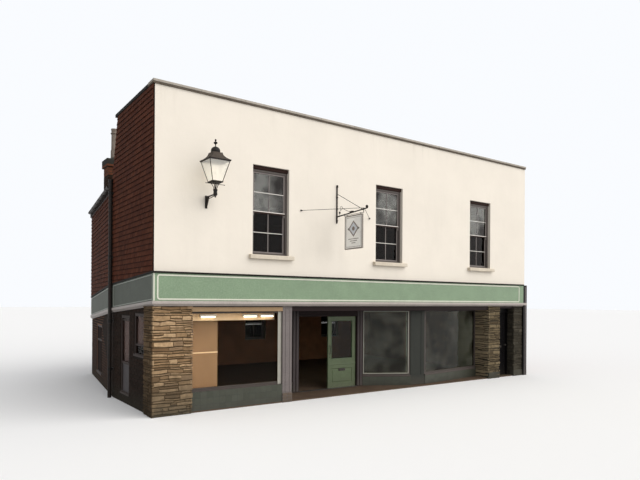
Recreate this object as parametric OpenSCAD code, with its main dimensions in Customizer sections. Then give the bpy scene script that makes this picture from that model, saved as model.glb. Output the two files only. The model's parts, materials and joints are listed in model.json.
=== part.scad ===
// Corner shop building: a two-storey rendered street block with shop windows below,
// tile-hung along the lane, and a lower hipped range behind it.
// The origin is on the ground at the street corner of the walls.
// X runs along the street front, Y runs back along the lane and Z is up.

/* [Street block] */
// Length of the street front, from the lane corner to the party line
front_len = 12760; // [12600:20:12900]
// Depth of the street block along the lane
block_depth = 3050; // [2980:10:3150]
// Height of the street block to the top of its coping
block_h = 7050; // [6950:10:7200]
// Thickness of the outer walls
wall_t = 280; // [250:10:300]
// Thickness of the tile hanging in front of the lane walls
tile_hang_t = 30; // [20:2:40]
// Height of the coping along the street
coping_h = 90; // [70:5:120]
// How far the top of the block's rear wall leans towards the street
rear_lean = 470; // [380:10:520]
// Angle by which the name boards fall along the lane
lane_fall = 3.6; // [3:0.1:4]

/* [Rear range] */
// Distance of the rear wall from the street front
rear_y = 8000; // [7800:20:8200]
// Angle by which the rear lane wall turns away from the lane
rear_turn = 7.7; // [6:0.1:9]
// Height of the eaves of the rear range
eaves_z = 5370; // [5330:10:5420]
// Pitch of the hipped roof in degrees
roof_pitch = 29; // [27:0.5:31]
// Overhang of the roof past the rear wall
roof_overhang = 230; // [180:10:260]
// Overhang of the roof past the lane wall
lane_overhang = 60; // [50:5:90]

/* [Floors] */
// Thickness of the ground floor slab
ground_floor_t = 30; // [20:5:40]
// Height of the first floor's upper face
first_floor_z = 2900; // [2850:10:2950]
// Thickness of the first floor
first_floor_t = 250; // [200:10:300]

/* [Sash windows] */
// Left edge of the first sash window
window_1_x = 2316; // [2200:4:2400]
// Left edge of the second sash window
window_2_x = 6082; // [5900:4:6300]
// Left edge of the third sash window
window_3_x = 9943; // [9800:4:10000]
// Width of a sash window opening
sash_w = 990; // [900:10:1080]
// Height of a sash window opening
sash_h = 2100; // [2000:10:2200]
// Height of the sash window sills above the ground
sash_z = 3520; // [3470:10:3600]
// Depth of the sash frames behind the wall face
sash_set_back = 90; // [70:5:110]

/* [Shopfront] */
// Underside of the beam over the shopfront
beam_z = 2250; // [2200:10:2280]
// Top of the beam over the shopfront
beam_top_z = 3020; // [3000:5:3050]
// Underside of the name board
fascia_z = 2430; // [2410:5:2460]
// Height of the name board
fascia_h = 580; // [550:10:590]
// Thickness of the name board along the street
fascia_t = 100; // [80:5:120]
// Thickness of the name boards along the lane
lane_board_t = 40; // [30:5:50]
// Width of the stone pier at the street corner
corner_pier_w = 820; // [760:10:880]
// Depth of the stone pier along the lane
corner_pier_d = 480; // [420:10:520]
// Left edge of the pilaster beside the entrance
pilaster_x = 3140; // [3100:10:3200]
// Width of the pilaster beside the entrance
pilaster_w = 270; // [240:10:300]
// Distance of the doors behind the street front
door_recess = 900; // [860:10:940]
// Height of the display window sills
shop_sill_z = 330; // [300:10:360]

/* [Doors] */
// Width of one leaf of the shop doors
leaf_w = 970; // [950:5:980]
// Height of a leaf of the shop doors
leaf_h = 1980; // [1940:10:2000]
// Thickness of a door leaf
leaf_t = 50; // [44:2:56]
// Height of the black side door
side_leaf_h = 2060; // [2000:10:2080]

/* [Chimney] */
// Width of the square chimney stack
stack_w = 480; // [460:10:550]
// Height of the top of the stack's cap
stack_top_z = 6600; // [6560:10:6700]
// Height of the top of the chimney pot
pot_top_z = 7550; // [7500:10:7600]

/* [Lantern] */
// Distance of the lantern along the street front
lantern_x = 1150; // [1100:10:1260]
// Distance of the lantern's middle from the wall
lantern_out = 480; // [450:10:520]
// Height of the bottom of the lantern's glass
lantern_z = 4980; // [4950:10:5050]

/* [Hanging sign] */
// Distance of the hanging sign along the street front
sign_x = 4750; // [4700:10:4850]
// Length of the sign's arm from the wall
sign_arm_len = 1250; // [1200:10:1300]
// Height of the sign's arm at the wall
sign_arm_z = 4610; // [4580:10:4640]
// Width of the sign board
sign_w = 690; // [650:10:710]
// Height of the sign board
sign_h = 840; // [800:10:860]

/* [Hidden] */

$fn = 32;
// Overlap that keeps a cut clear of the face it starts from.
eps = 1;
// Mortar gap between a piece and the slanted lane wall that it meets.
lane_gap = 1;
// A length past the whole building.
far = 20000;
party_t = wall_t;
inner_right = front_len - party_t;
lane_wall_w = wall_t / cos(rear_turn);

// Piers along the street.
pier_proud = 40;
pier_d = 520;
middle_pier_x = 10850;
middle_pier_w = 510;
end_pier_x = 12130;
end_pilaster_x = 12570;

// Entrance doors and their frame. The leaves are flush with the frame's inner face.
frame_d = 100;
door_back_y = door_recess + frame_d;
leaf_gap = 8;
leaf_z = ground_floor_t + 10;
jamb_left_x = 4000;
jamb_left_w = 210;
jamb_right_w = 220;
opening_left = jamb_left_x + jamb_left_w;
opening_right = opening_left + 2 * leaf_w + 3 * leaf_gap;
// Hinge knuckles, behind the inner face of a leaf and in the middle of the gap beside it.
knuckle_r = 7;
knuckle_h = 60;
hinge_back = 8;
tab_w = 20;
pin_w = 7;
hinge_heights = [250, 1000, 1750];
stile_w = 110;
leaf_glass_z = 800;
leaf_glass_h = leaf_h - leaf_glass_z - stile_w;
glass_t = 12;

// Black side door between the two right piers.
side_door_y = 200;
side_door_back_y = side_door_y + frame_d;
side_frame_w = 40;
side_opening_left = middle_pier_x + middle_pier_w + side_frame_w;
side_opening_right = end_pier_x - side_frame_w;
side_leaf_w = side_opening_right - side_opening_left - 2 * leaf_gap;

// Plan points of the shopfront's glazing line.
window_1_y = 60;
window_1_sill = 440;
window_1_start = [corner_pier_w, window_1_y];
window_1_end = [pilaster_x, window_1_y];
return_start = [pilaster_x + pilaster_w, 240];
return_end = [jamb_left_x, door_recess + 40];
splay_start = [opening_right + jamb_right_w, door_recess + 40];
post_left = [7640, 250];
post_right = [8160, 180];
splay_end = [middle_pier_x, pier_d - 20];
post_t = 150;
splay_lines = [[return_start, return_end], [splay_start, post_left], [post_right, splay_end]];
frame_w = 70;
frame_t = 80;
stall_t = 160;
splay_sill_z = shop_sill_z - 20;

soffit_t = 50;
soffit_d = 1020;
soffit_z = beam_z - soffit_t;

// Strip under the name boards, and where the boards stop beside the downpipe.
cornice_h = 110;
lane_strip_end = block_depth - 130;

// Lane windows as [distance along the wall, lowest point, width, height].
lane_window_1 = [560, 1180, 740, 970];
lane_window_2 = [1640, 200, 700, 1880];
rear_lane_window = [2300, 250, 1200, 1450];
lane_frame_in = 10;
// Windows of the rear wall: their left edges, and each row's lowest point and height.
rear_window_w = 900;
rear_window_x = [2600, 6200, 9800];
rear_window_rows = [[950, 1200], [3600, 1500]];

// Roof of the rear range.
roof_t = 180;
roof_back_y = rear_y + roof_overhang;
ridge_y = (block_depth + roof_back_y) / 2;
ridge_z = eaves_z + (ridge_y - block_depth) * tan(roof_pitch);
flat_roof_z = block_h - coping_h - 330;
flat_roof_t = 150;

// Chimney stack on the lane side of the rear range.
stack_at = [740, 5740];

// The outer face of the rear lane wall at the given Y, and where the pieces within it end.
function lane_x(y) = (y - block_depth) * tan(rear_turn);
function lane_inner_x(y) = lane_x(y) + lane_wall_w + lane_gap;

// A box between two corners.
module box(low, high) {
    translate(low) cube(high - low);
}

// How much longer the line from p to q is than its run along X.
function slant(p, q) = norm(q - p) / (q[0] - p[0]);

// The point of the line from p to q at the given X.
function on_line(p, q, x) = [x, p[1] + (q[1] - p[1]) * (x - p[0]) / (q[0] - p[0])];

// The ends of the pane in a frame that runs from p to q.
function pane_ends(p, q) = [on_line(p, q, p[0] + frame_w / slant(p, q)),
    on_line(p, q, q[0] - frame_w / slant(p, q))];

// An upright slab along the line from p to q, with its ends square to the street. It reaches
// from front, before the line, to back, behind the line.
module upright_band(p, q, front, back, low, high) {
    k = slant(p, q);
    translate([0, 0, low]) linear_extrude(high - low)
        polygon([p - [0, front * k], q - [0, front * k], q + [0, back * k], p + [0, back * k]]);
}

// Puts children in the frame of the rear lane wall, with +Y along it.
module on_rear_lane() {
    translate([0, block_depth, 0]) rotate([0, 0, -rear_turn]) children();
}

// A rod between two points.
module rod(p, q, r) {
    v = q - p;
    translate(p) rotate([0, acos(v[2] / norm(v)), atan2(v[1], v[0])])
        cylinder(h = norm(v), r = r, $fn = 16);
}

// A window frame standing on y = 0, with rails at the given heights.
module window_frame(width, low, high, bar, depth, rails = []) {
    difference() {
        box([0, 0, low], [width, depth, high]);
        box([bar, -eps, low + bar], [width - bar, depth + eps, high - bar]);
    }
    for (z = rails)
        box([bar - eps, 0, z - bar / 2], [width - bar + eps, depth, z + bar / 2]);
}

// The panes of such a window frame.
module window_pane(width, low, high, bar, depth, rails = []) {
    difference() {
        box([bar, (depth - glass_t) / 2, low + bar],
            [width - bar, (depth + glass_t) / 2, high - bar]);
        for (z = rails)
            box([0, -eps, z - bar / 2], [width, depth + eps, z + bar / 2]);
    }
}

// A slab across the building between two heights, level along the street and falling with the
// name boards along the lane.
module falling_slab(low, high) {
    drop = 2 * rear_y * tan(lane_fall);
    translate([-far / 2, 0, 0]) rotate([90, 0, 90]) linear_extrude(2 * far)
        polygon([[-rear_y, low], [0, low], [2 * rear_y, low - drop],
            [2 * rear_y, high - drop], [0, high], [-rear_y, high]]);
}

// The space in front of the block's rear face, which leans towards the street above the eaves.
module before_rear_face() {
    top = block_h - coping_h;
    translate([-far / 2, 0, 0]) rotate([90, 0, 90]) linear_extrude(2 * far)
        polygon([[-far, -eps], [block_depth, -eps], [block_depth, eaves_z],
            [block_depth - rear_lean, top], [-far, top]]);
}

// Masonry piers of the street front

module corner_pier() {
    color("#b39a72") box([-pier_proud, -pier_proud, 0], [corner_pier_w, corner_pier_d, beam_z]);
}

module middle_pier() {
    color("#a08f74") box([middle_pier_x, -pier_proud, 0],
        [middle_pier_x + middle_pier_w, pier_d, beam_z]);
}

module end_pier() {
    color("#8f8674") {
        box([end_pier_x, -pier_proud, 0], [end_pilaster_x, wall_t, beam_z]);
        box([end_pier_x, wall_t, 0], [inner_right, pier_d, beam_z]);
    }
}

module end_pilaster() {
    color("#2b2526") {
        box([end_pilaster_x, -fascia_t, 0], [front_len, 0, beam_top_z]);
        box([end_pilaster_x, -eps, 0], [front_len, wall_t, beam_z]);
    }
}

module shop_pilaster() {
    base_top = ground_floor_t + 200;
    base_out = 20;
    color("#a79ea6") {
        box([pilaster_x, 0, ground_floor_t], [pilaster_x + pilaster_w, 240, beam_z - soffit_t]);
        box([pilaster_x, -base_out, 0], [pilaster_x + pilaster_w, 0, base_top]);
    }
}

module shop_post() {
    color("#8b878c") upright_band(post_left, post_right, 0, post_t, ground_floor_t, soffit_z);
}

module shopfront_beam() {
    color("#d8d2cc") box([0, 0, beam_z], [front_len, wall_t, beam_top_z]);
}

module shopfront_soffit() {
    color("#4a4146") box([corner_pier_w, 0, soffit_z], [middle_pier_x, soffit_d, beam_z]);
}

// Walls above and behind the shopfront

module front_upper_wall() {
    color("#f3e9dc") difference() {
        box([0, 0, beam_top_z], [front_len, wall_t, block_h - coping_h]);
        for (x = [window_1_x, window_2_x, window_3_x])
            box([x, -eps, sash_z], [x + sash_w, wall_t + eps, sash_z + sash_h]);
    }
}

module front_coping() {
    color("#8d8076") box([-tile_hang_t - 20, -50, block_h - coping_h],
        [front_len, wall_t + 30, block_h]);
}

module parapet_capping() {
    rear_top = block_depth - rear_lean;
    rear_out = 180;
    color("#5c5652") difference() {
        box([-tile_hang_t - 20, wall_t + 30, block_h - coping_h],
            [front_len, rear_top + rear_out, block_h - 20]);
        box([wall_t + 20, -eps, 0], [inner_right - 20, rear_top - wall_t - 20, far]);
    }
}

module side_lower_wall() {
    color("#8a7d70") difference() {
        box([0, wall_t, 0], [wall_t, block_depth, beam_top_z]);
        box([-eps, 0, -eps], [wall_t + eps, corner_pier_d, beam_z]);
        for (w = [lane_window_1, lane_window_2])
            box([-eps, w[0], w[1]], [wall_t + eps, w[0] + w[2], w[1] + w[3]]);
        falling_slab(beam_top_z, far);
    }
}

module side_upper_wall() {
    color("#6f3a2c") difference() {
        intersection() {
            union() {
                box([-tile_hang_t, 0, beam_z], [0, block_depth, block_h]);
                box([-eps, wall_t, beam_z], [wall_t, block_depth, block_h]);
            }
            before_rear_face();
        }
        falling_slab(-far, beam_top_z);
    }
}

// Plan of the rear lane wall with its outer face moved out.
module rear_lane_plan(outset) {
    polygon([[lane_x(block_depth) - outset, block_depth], [lane_x(rear_y) - outset, rear_y],
        [lane_x(rear_y) + lane_wall_w, rear_y], [lane_wall_w, block_depth]]);
}

module rear_lane_lower_wall() {
    w = rear_lane_window;
    color("#84766a") difference() {
        linear_extrude(beam_top_z) rear_lane_plan(0);
        on_rear_lane()
            box([-wall_t, w[0], w[1]], [2 * wall_t, w[0] + w[2], w[1] + w[3]]);
        falling_slab(beam_top_z, far);
    }
}

module rear_lane_upper_wall() {
    color("#6a382b") difference() {
        intersection() {
            linear_extrude(far) rear_lane_plan(tile_hang_t);
            under_slopes(roof_t);
            under_hip(roof_t);
        }
        falling_slab(-far, beam_top_z);
    }
}

module rear_wall() {
    inner_y = rear_y - wall_t;
    color("#8d5a45") difference() {
        intersection() {
            linear_extrude(far) polygon([
                [lane_inner_x(inner_y), inner_y], [inner_right, inner_y],
                [inner_right, rear_y], [lane_inner_x(rear_y), rear_y]]);
            under_slopes(roof_t);
            under_hip(roof_t);
        }
        for (x = rear_window_x, row = rear_window_rows)
            box([x, inner_y - eps, row[0]], [x + rear_window_w, rear_y + eps, row[0] + row[1]]);
    }
}

module block_rear_wall() {
    color("#8d5a45") difference() {
        intersection() {
            box([wall_t, wall_t, eaves_z - roof_t], [inner_right, block_depth, block_h]);
            before_rear_face();
        }
        translate([0, -wall_t, 0]) before_rear_face();
    }
}

module party_wall() {
    color("#93685a") {
        intersection() {
            box([inner_right, wall_t, 0], [front_len, block_depth, block_h]);
            before_rear_face();
        }
        intersection() {
            box([inner_right, block_depth - eps, 0], [front_len, rear_y, far]);
            under_slopes(roof_t);
        }
    }
}

// Floors and roofs

module ground_floor() {
    inner_y = rear_y - wall_t;
    color("#b0a79c") linear_extrude(ground_floor_t) polygon([
        [corner_pier_w, 0], [middle_pier_x, 0], [middle_pier_x, pier_d],
        [middle_pier_x + middle_pier_w, pier_d], [middle_pier_x + middle_pier_w, 0],
        [end_pier_x, 0], [end_pier_x, pier_d], [inner_right, pier_d], [inner_right, inner_y],
        [lane_inner_x(inner_y), inner_y], [lane_inner_x(block_depth), block_depth],
        [wall_t, block_depth], [wall_t, corner_pier_d], [corner_pier_w, corner_pier_d]]);
}

module first_floor() {
    inner_y = rear_y - wall_t;
    color("#9c8262") translate([0, 0, first_floor_z - first_floor_t])
        linear_extrude(first_floor_t) polygon([
            [wall_t, wall_t], [inner_right, wall_t], [inner_right, inner_y],
            [lane_inner_x(inner_y), inner_y], [lane_inner_x(block_depth), block_depth],
            [wall_t, block_depth]]);
}

module block_roof() {
    color("#6d6b68") intersection() {
        box([wall_t, wall_t, flat_roof_z],
            [inner_right, block_depth - wall_t, flat_roof_z + flat_roof_t]);
        translate([0, -wall_t, 0]) before_rear_face();
    }
}

// The space under the two long slopes of the rear roof, lowered by drop.
module under_slopes(drop) {
    translate([-far / 2, 0, 0]) rotate([90, 0, 90]) linear_extrude(far / 2 + front_len)
        polygon([[block_depth, -eps], [roof_back_y, -eps], [roof_back_y, eaves_z - drop],
            [ridge_y, ridge_z - drop], [block_depth, eaves_z - drop]]);
}

// The space under the hip that rises from the lane, lowered by drop.
module under_hip(drop) {
    on_rear_lane() translate([0, far / 2, 0]) rotate([90, 0, 0]) linear_extrude(far)
        polygon([[-lane_overhang, -eps], [far, -eps],
            [far, eaves_z + (far + lane_overhang) * tan(roof_pitch) - drop],
            [-lane_overhang, eaves_z - drop]]);
}

// One long slope between the plan lines y0 and y1.
module roof_slope(y0, y1) {
    difference() {
        intersection() {
            under_slopes(0);
            under_hip(roof_t);
            box([-far / 2, y0, 0], [far, y1, far]);
        }
        translate([eps, 0, 0]) under_slopes(roof_t);
    }
}

module rear_roof_front() {
    color("#7a4a3a") roof_slope(block_depth, ridge_y);
}

module rear_roof_back() {
    color("#7a4a3a") roof_slope(ridge_y, roof_back_y);
}

module rear_roof_hip() {
    color("#7a4a3a") difference() {
        intersection() {
            under_slopes(0);
            under_hip(0);
        }
        under_hip(roof_t);
    }
}

module eaves_gutter() {
    r = 50;
    run = rear_y - block_depth - 100;
    color("#26262a") on_rear_lane() translate([-lane_overhang - r, 60, eaves_z - 60])
        rotate([-90, 0, 0]) difference() {
            union() {
                cylinder(h = run, r = r);
                box([0, 0, 0], [r, r, run]);
            }
            translate([0, 0, 20]) cylinder(h = run - 40, r = r - 8);
            box([-2 * r, -2 * r, -eps], [2 * r, 0, run + eps]);
        }
}

module lane_downpipe() {
    r = 45;
    gap = 20;
    x = -tile_hang_t - gap - r;
    y = block_depth - 70;
    color("#222226") {
        translate([x, y, 0]) cylinder(h = 5400, r = r);
        for (z = [700, 1900])
            box([x, y - 30, z], [0, y + 30, z + 40]);
        for (z = [3500, 5100])
            box([x, y - 30, z], [-tile_hang_t, y + 30, z + 40]);
    }
}

// Chimney

module chimney_stack() {
    cap_h = 230;
    cap_w = stack_w + 90;
    base_z = eaves_z - 100;
    color("#7b4b3a") difference() {
        translate([stack_at[0], stack_at[1], 0]) {
            translate([-stack_w / 2, -stack_w / 2, base_z])
                cube([stack_w, stack_w, stack_top_z - base_z]);
            translate([-cap_w / 2, -cap_w / 2, stack_top_z - cap_h]) cube([cap_w, cap_w, cap_h]);
        }
        under_hip(0);
    }
}

module chimney_pot() {
    h = pot_top_z - stack_top_z;
    color("#8a8079") translate([stack_at[0], stack_at[1], stack_top_z]) difference() {
        union() {
            cylinder(h = h, r = 92);
            cylinder(h = 320, r = 108);
            translate([0, 0, h - 150]) cylinder(h = 30, r = 112);
            translate([0, 0, h - 110]) cylinder(h = 110, r = 102);
        }
        translate([0, 0, 30]) cylinder(h = h, r = 72);
    }
}

// Name boards

module front_fascia() {
    color("#9db896") box([-lane_board_t, -fascia_t, fascia_z],
        [end_pilaster_x, 0, fascia_z + fascia_h]);
}

// A strip on the lane wall of the street block, from height low to high at the street corner.
module lane_strip(out, low, high) {
    intersection() {
        box([-out, -eps, 0], [0, lane_strip_end, far]);
        falling_slab(low, high);
    }
}

// The same strip on the rear lane wall.
module rear_lane_strip(out, low, high) {
    intersection() {
        on_rear_lane() box([-out, 40, 0], [0, rear_y - block_depth - 60, far]);
        falling_slab(low, high);
    }
}

module side_fascia() {
    color("#96a898") difference() {
        lane_strip(lane_board_t, fascia_z, fascia_z + fascia_h);
        box([-far, -far, 0], [far, 0, far]);
    }
}

module rear_side_fascia() {
    color("#96a898") rear_lane_strip(lane_board_t, fascia_z, fascia_z + fascia_h);
}

module fascia_cornice() {
    low = fascia_z - cornice_h;
    out = lane_board_t + 30;
    color("#b3a9ad") {
        box([-out, -fascia_t - 30, low], [end_pilaster_x, 0, fascia_z]);
        lane_strip(out, low, fascia_z);
        rear_lane_strip(out, low, fascia_z);
    }
}

// Shopfront joinery

module stallrisers() {
    lip = 30;
    color("#8f9487") {
        upright_band(window_1_start, window_1_end, window_1_y, stall_t, ground_floor_t,
            window_1_sill);
        for (line = splay_lines)
            upright_band(line[0], line[1], lip, stall_t - lip, ground_floor_t, splay_sill_z);
    }
}

// The frame of a display window that runs from plan point p to plan point q.
module display_frame(p, q, low) {
    ends = pane_ends(p, q);
    difference() {
        upright_band(p, q, 0, frame_t, low, soffit_z);
        upright_band(ends[0], ends[1], eps, frame_t + eps, low + frame_w, soffit_z - frame_w);
    }
}

module display_pane(p, q, low) {
    ends = pane_ends(p, q);
    upright_band(ends[0], ends[1], -(frame_t - glass_t) / 2, (frame_t + glass_t) / 2,
        low + frame_w, soffit_z - frame_w);
}

module display_windows() {
    color("#d9d6c8") {
        display_frame(window_1_start, window_1_end, window_1_sill);
        for (line = splay_lines)
            display_frame(line[0], line[1], splay_sill_z);
    }
}

module display_glass() {
    color("#8fa7ad") {
        display_pane(window_1_start, window_1_end, window_1_sill);
        for (line = splay_lines)
            display_pane(line[0], line[1], splay_sill_z);
        open_leaf_place() leaf_glass();
    }
}

module entrance_frame() {
    y0 = door_recess;
    y1 = door_recess + frame_d;
    header_z = leaf_z + leaf_h + leaf_gap;
    color("#6f6a66") {
        box([jamb_left_x, y0, ground_floor_t], [opening_left, y1, soffit_z]);
        box([opening_right, y0, ground_floor_t], [opening_right + jamb_right_w, y1, soffit_z]);
        box([opening_left - eps, y0, header_z], [opening_right + eps, y1, soffit_z]);
        shop_hinge_place() frame_knuckles(-1);
    }
}

// A half-glazed door leaf with its lower left corner at the origin.
module leaf() {
    difference() {
        cube([leaf_w, leaf_t, leaf_h]);
        translate([stile_w, -eps, leaf_glass_z])
            cube([leaf_w - 2 * stile_w, leaf_t + 2 * eps, leaf_glass_h]);
    }
}

module leaf_glass() {
    translate([stile_w, (leaf_t - glass_t) / 2, leaf_glass_z])
        cube([leaf_w - 2 * stile_w, glass_t, leaf_glass_h]);
}

// The left leaf stands open, square to the street.
module open_leaf_place() {
    translate([opening_left + leaf_gap + leaf_t, door_back_y + leaf_gap, leaf_z])
        rotate([0, 0, 90]) children();
}

module closed_leaf_place() {
    translate([opening_right - leaf_gap - leaf_w, door_back_y - leaf_t, leaf_z]) children();
}

// The middle knuckles of a leaf's hinges. The origin is on the hinge axis at the leaf's foot,
// and the leaf lies on the side that toward points to along X.
module leaf_knuckles(toward) {
    for (z = hinge_heights) translate([0, 0, z - knuckle_h / 2]) difference() {
        union() {
            cylinder(h = knuckle_h, r = knuckle_r);
            box([toward > 0 ? 0 : -tab_w, -hinge_back, 0],
                [toward > 0 ? tab_w : 0, -4, knuckle_h]);
        }
        translate([0, 0, -eps]) cylinder(h = knuckle_h + 2 * eps, d = pin_w + 1);
    }
}

// The pins of the same hinges, with the end knuckles that hold them to the frame.
module frame_knuckles(toward) {
    end_h = 25;
    for (z = hinge_heights) translate([0, 0, z]) {
        cylinder(h = knuckle_h + 2 * end_h, d = pin_w, center = true);
        for (z0 = [-knuckle_h / 2 - eps - end_h, knuckle_h / 2 + eps]) translate([0, 0, z0]) {
            cylinder(h = end_h, r = knuckle_r);
            box([toward > 0 ? -tab_w : 0, -hinge_back, 0], [toward > 0 ? 0 : tab_w, -4, end_h]);
        }
    }
}

module shop_hinge_place() {
    translate([opening_right - leaf_gap / 2, door_back_y + hinge_back, leaf_z]) children();
}

module side_hinge_place() {
    translate([side_opening_left + leaf_gap / 2, side_door_back_y + hinge_back, leaf_z])
        children();
}

module open_door_leaf() {
    color("#7f9a78") open_leaf_place() leaf();
}

module shop_door() {
    color("#8fae86") {
        closed_leaf_place() leaf();
        shop_hinge_place() leaf_knuckles(-1);
    }
}

module shop_door_glass() {
    color("#8fa7ad") closed_leaf_place() leaf_glass();
}

module black_door_frame() {
    color("#1f1f22") {
        difference() {
            box([middle_pier_x + middle_pier_w, side_door_y, ground_floor_t],
                [end_pier_x, side_door_y + frame_d, beam_z]);
            box([side_opening_left, 0, -eps],
                [side_opening_right, far, leaf_z + side_leaf_h + leaf_gap]);
        }
        side_hinge_place() frame_knuckles(1);
    }
}

module black_door() {
    color("#19191c") {
        translate([side_opening_left + leaf_gap, side_door_back_y - leaf_t, leaf_z])
            cube([side_leaf_w, leaf_t, side_leaf_h]);
        side_hinge_place() leaf_knuckles(1);
    }
}

// Puts a window's children in the lane wall of the street block.
module in_lane_wall(w) {
    translate([lane_frame_in, w[0] + w[2], w[1]]) rotate([0, 0, -90]) children();
}

module side_windows() {
    color("#6b6462") {
        for (w = [lane_window_1, lane_window_2])
            in_lane_wall(w) window_frame(w[2], 0, w[3], 60, 70);
        on_rear_lane() in_lane_wall(rear_lane_window)
            window_frame(rear_lane_window[2], 0, rear_lane_window[3], 60, 70);
    }
}

module side_window_glass() {
    color("#8fa7ad") {
        for (w = [lane_window_1, lane_window_2])
            in_lane_wall(w) window_pane(w[2], 0, w[3], 60, 70);
        on_rear_lane() in_lane_wall(rear_lane_window)
            window_pane(rear_lane_window[2], 0, rear_lane_window[3], 60, 70);
    }
}

// Sash windows of the upper storey

module sash_windows() {
    color("#75686c") for (x = [window_1_x, window_2_x, window_3_x])
        translate([x, sash_set_back, 0])
            window_frame(sash_w, sash_z, sash_z + sash_h, 55, 90, [sash_z + sash_h / 2]);
}

module sash_glass() {
    color("#8fa7ad") for (x = [window_1_x, window_2_x, window_3_x])
        translate([x, sash_set_back, 0])
            window_pane(sash_w, sash_z, sash_z + sash_h, 55, 90, [sash_z + sash_h / 2]);
}

module window_sills() {
    horn = 100;
    color("#b9b0a2") for (x = [window_1_x, window_2_x, window_3_x])
        box([x - horn, -110, sash_z - 100], [x + sash_w + horn, 0, sash_z]);
}

module rear_windows() {
    color("#cfc9bd") for (x = rear_window_x, row = rear_window_rows)
        translate([x, rear_y - 150, 0])
            window_frame(rear_window_w, row[0], row[0] + row[1], 55, 80, [row[0] + row[1] / 2]);
}

module rear_window_glass() {
    color("#8fa7ad") for (x = rear_window_x, row = rear_window_rows)
        translate([x, rear_y - 150, 0])
            window_pane(rear_window_w, row[0], row[0] + row[1], 55, 80, [row[0] + row[1] / 2]);
}

// Wall lantern

lantern_foot_w = 230;
lantern_eave_w = 480;
lantern_glass_h = 430;
lantern_bar = 26;

// The wall plate with its gusset and arm, the post and the four legs under the lantern.
module lantern_bracket() {
    plate_z = lantern_z - 515;
    arm_low = lantern_z - 285;
    post_r = 45;
    post_low = lantern_z - 340;
    post_high = lantern_z - 160;
    leg_r = 8;
    leg_foot = 28;
    leg_head = 72;
    color("#1c1c1f") translate([lantern_x, 0, 0]) {
        box([-25, -26, plate_z], [25, 0, plate_z + 280]);
        box([-14, -lantern_out, arm_low], [14, -20, arm_low + 30]);
        translate([-8, 0, 0]) rotate([90, 0, 90]) linear_extrude(16)
            polygon([[-20, plate_z + 10], [-45, plate_z + 10], [-170, arm_low + 10],
                [-20, arm_low + 10]]);
        translate([0, -lantern_out, post_low]) cylinder(h = post_high - post_low, r = post_r);
        for (a = [-1, 1], b = [-1, 1])
            rod([a * leg_foot, b * leg_foot - lantern_out, post_high - 10],
                [a * leg_head, b * leg_head - lantern_out, lantern_z - 35], leg_r);
    }
}

// The lantern's tapered body, 20 mm taller than its glass at both ends.
module lantern_body(inset) {
    w0 = lantern_foot_w - 2 * inset;
    w1 = lantern_eave_w - 2 * inset;
    translate([lantern_x, -lantern_out, lantern_z - 20]) hull() {
        translate([-w0 / 2, -w0 / 2, 0]) cube([w0, w0, eps]);
        translate([-w1 / 2, -w1 / 2, lantern_glass_h + 40 - eps]) cube([w1, w1, eps]);
    }
}

module lantern_frame() {
    eave_z = lantern_z + lantern_glass_h;
    color("#1c1c1f") {
        difference() {
            lantern_body(0);
            lantern_body(lantern_bar);
            for (a = [0, 90])
                translate([lantern_x, -lantern_out, 0]) rotate([0, 0, a])
                    rotate([90, 0, 0]) translate([0, 0, -far / 2]) linear_extrude(far)
                        polygon([[-lantern_foot_w / 2 + lantern_bar, lantern_z + 6],
                            [lantern_foot_w / 2 - lantern_bar, lantern_z + 6],
                            [lantern_eave_w / 2 - lantern_bar, eave_z - 6],
                            [-lantern_eave_w / 2 + lantern_bar, eave_z - 6]]);
        }
        translate([lantern_x, -lantern_out, lantern_z - 30]) cylinder(h = 20, r = 112);
        translate([lantern_x, -lantern_out, eave_z + 20]) rotate_extrude()
            polygon([[0, 0], [lantern_eave_w / 2 - 10, 0], [185, 55], [130, 125], [98, 160],
                [98, 210], [80, 250], [45, 280], [14, 290], [10, 340], [42, 385], [12, 420],
                [20, 440], [10, 460], [0, 460]]);
    }
}

module lantern_glass() {
    color("#c9d3cf") difference() {
        lantern_body(lantern_bar + eps);
        box([0, -far, 0], [far, 0, lantern_z - 9]);
    }
}

// Hanging sign

arm_rise = 80;
pin_z = sign_arm_z - 10;
pin_r = 6;
eye_r = 7;
board_y0 = 365;
board_top = pin_z - 22;
bar_y = 20;

function arm_z(y) = sign_arm_z + arm_rise * y / sign_arm_len;

// The collar on the arm that the side stays rest on.
stay_y = 1100;
collar_w = 30;
collar_top = arm_z(stay_y) + 17;

module sign_bracket() {
    color("#1e1e20") translate([sign_x, 0, 0]) {
        box([-20, -12, sign_arm_z - 170], [20, 0, sign_arm_z + 810]);
        rod([0, -bar_y, sign_arm_z - 170], [0, -bar_y, sign_arm_z + 810], 12);
        rod([0, -5, sign_arm_z], [0, -sign_arm_len, arm_z(sign_arm_len)], 13);
        box([-collar_w / 2, -stay_y - collar_w / 2, arm_z(stay_y) - 17],
            [collar_w / 2, -stay_y + collar_w / 2, collar_top]);
        rod([0, -bar_y, sign_arm_z + 590], [0, -1040, arm_z(1040)], 9);
        for (y = [board_y0 - 30, board_y0 + sign_w + 30])
            box([-8, -y - 6, pin_z - 12], [8, -y + 6, arm_z(y)]);
        rod([0, -(board_y0 - 30), pin_z], [0, -(board_y0 + sign_w + 30), pin_z], pin_r);
    }
}

module sign_stays() {
    stay_r = 6;
    hold = [sign_x, -stay_y, collar_top + stay_r + 0.3];
    anchor_out = 1100;
    color("#2a2a2c") for (side = [-1, 1]) {
        rod(hold, [sign_x + side * anchor_out, -10, sign_arm_z + 60], stay_r);
        box([sign_x + side * anchor_out - 20, -20, sign_arm_z + 40],
            [sign_x + side * anchor_out + 20, 0, sign_arm_z + 80]);
    }
}

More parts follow.
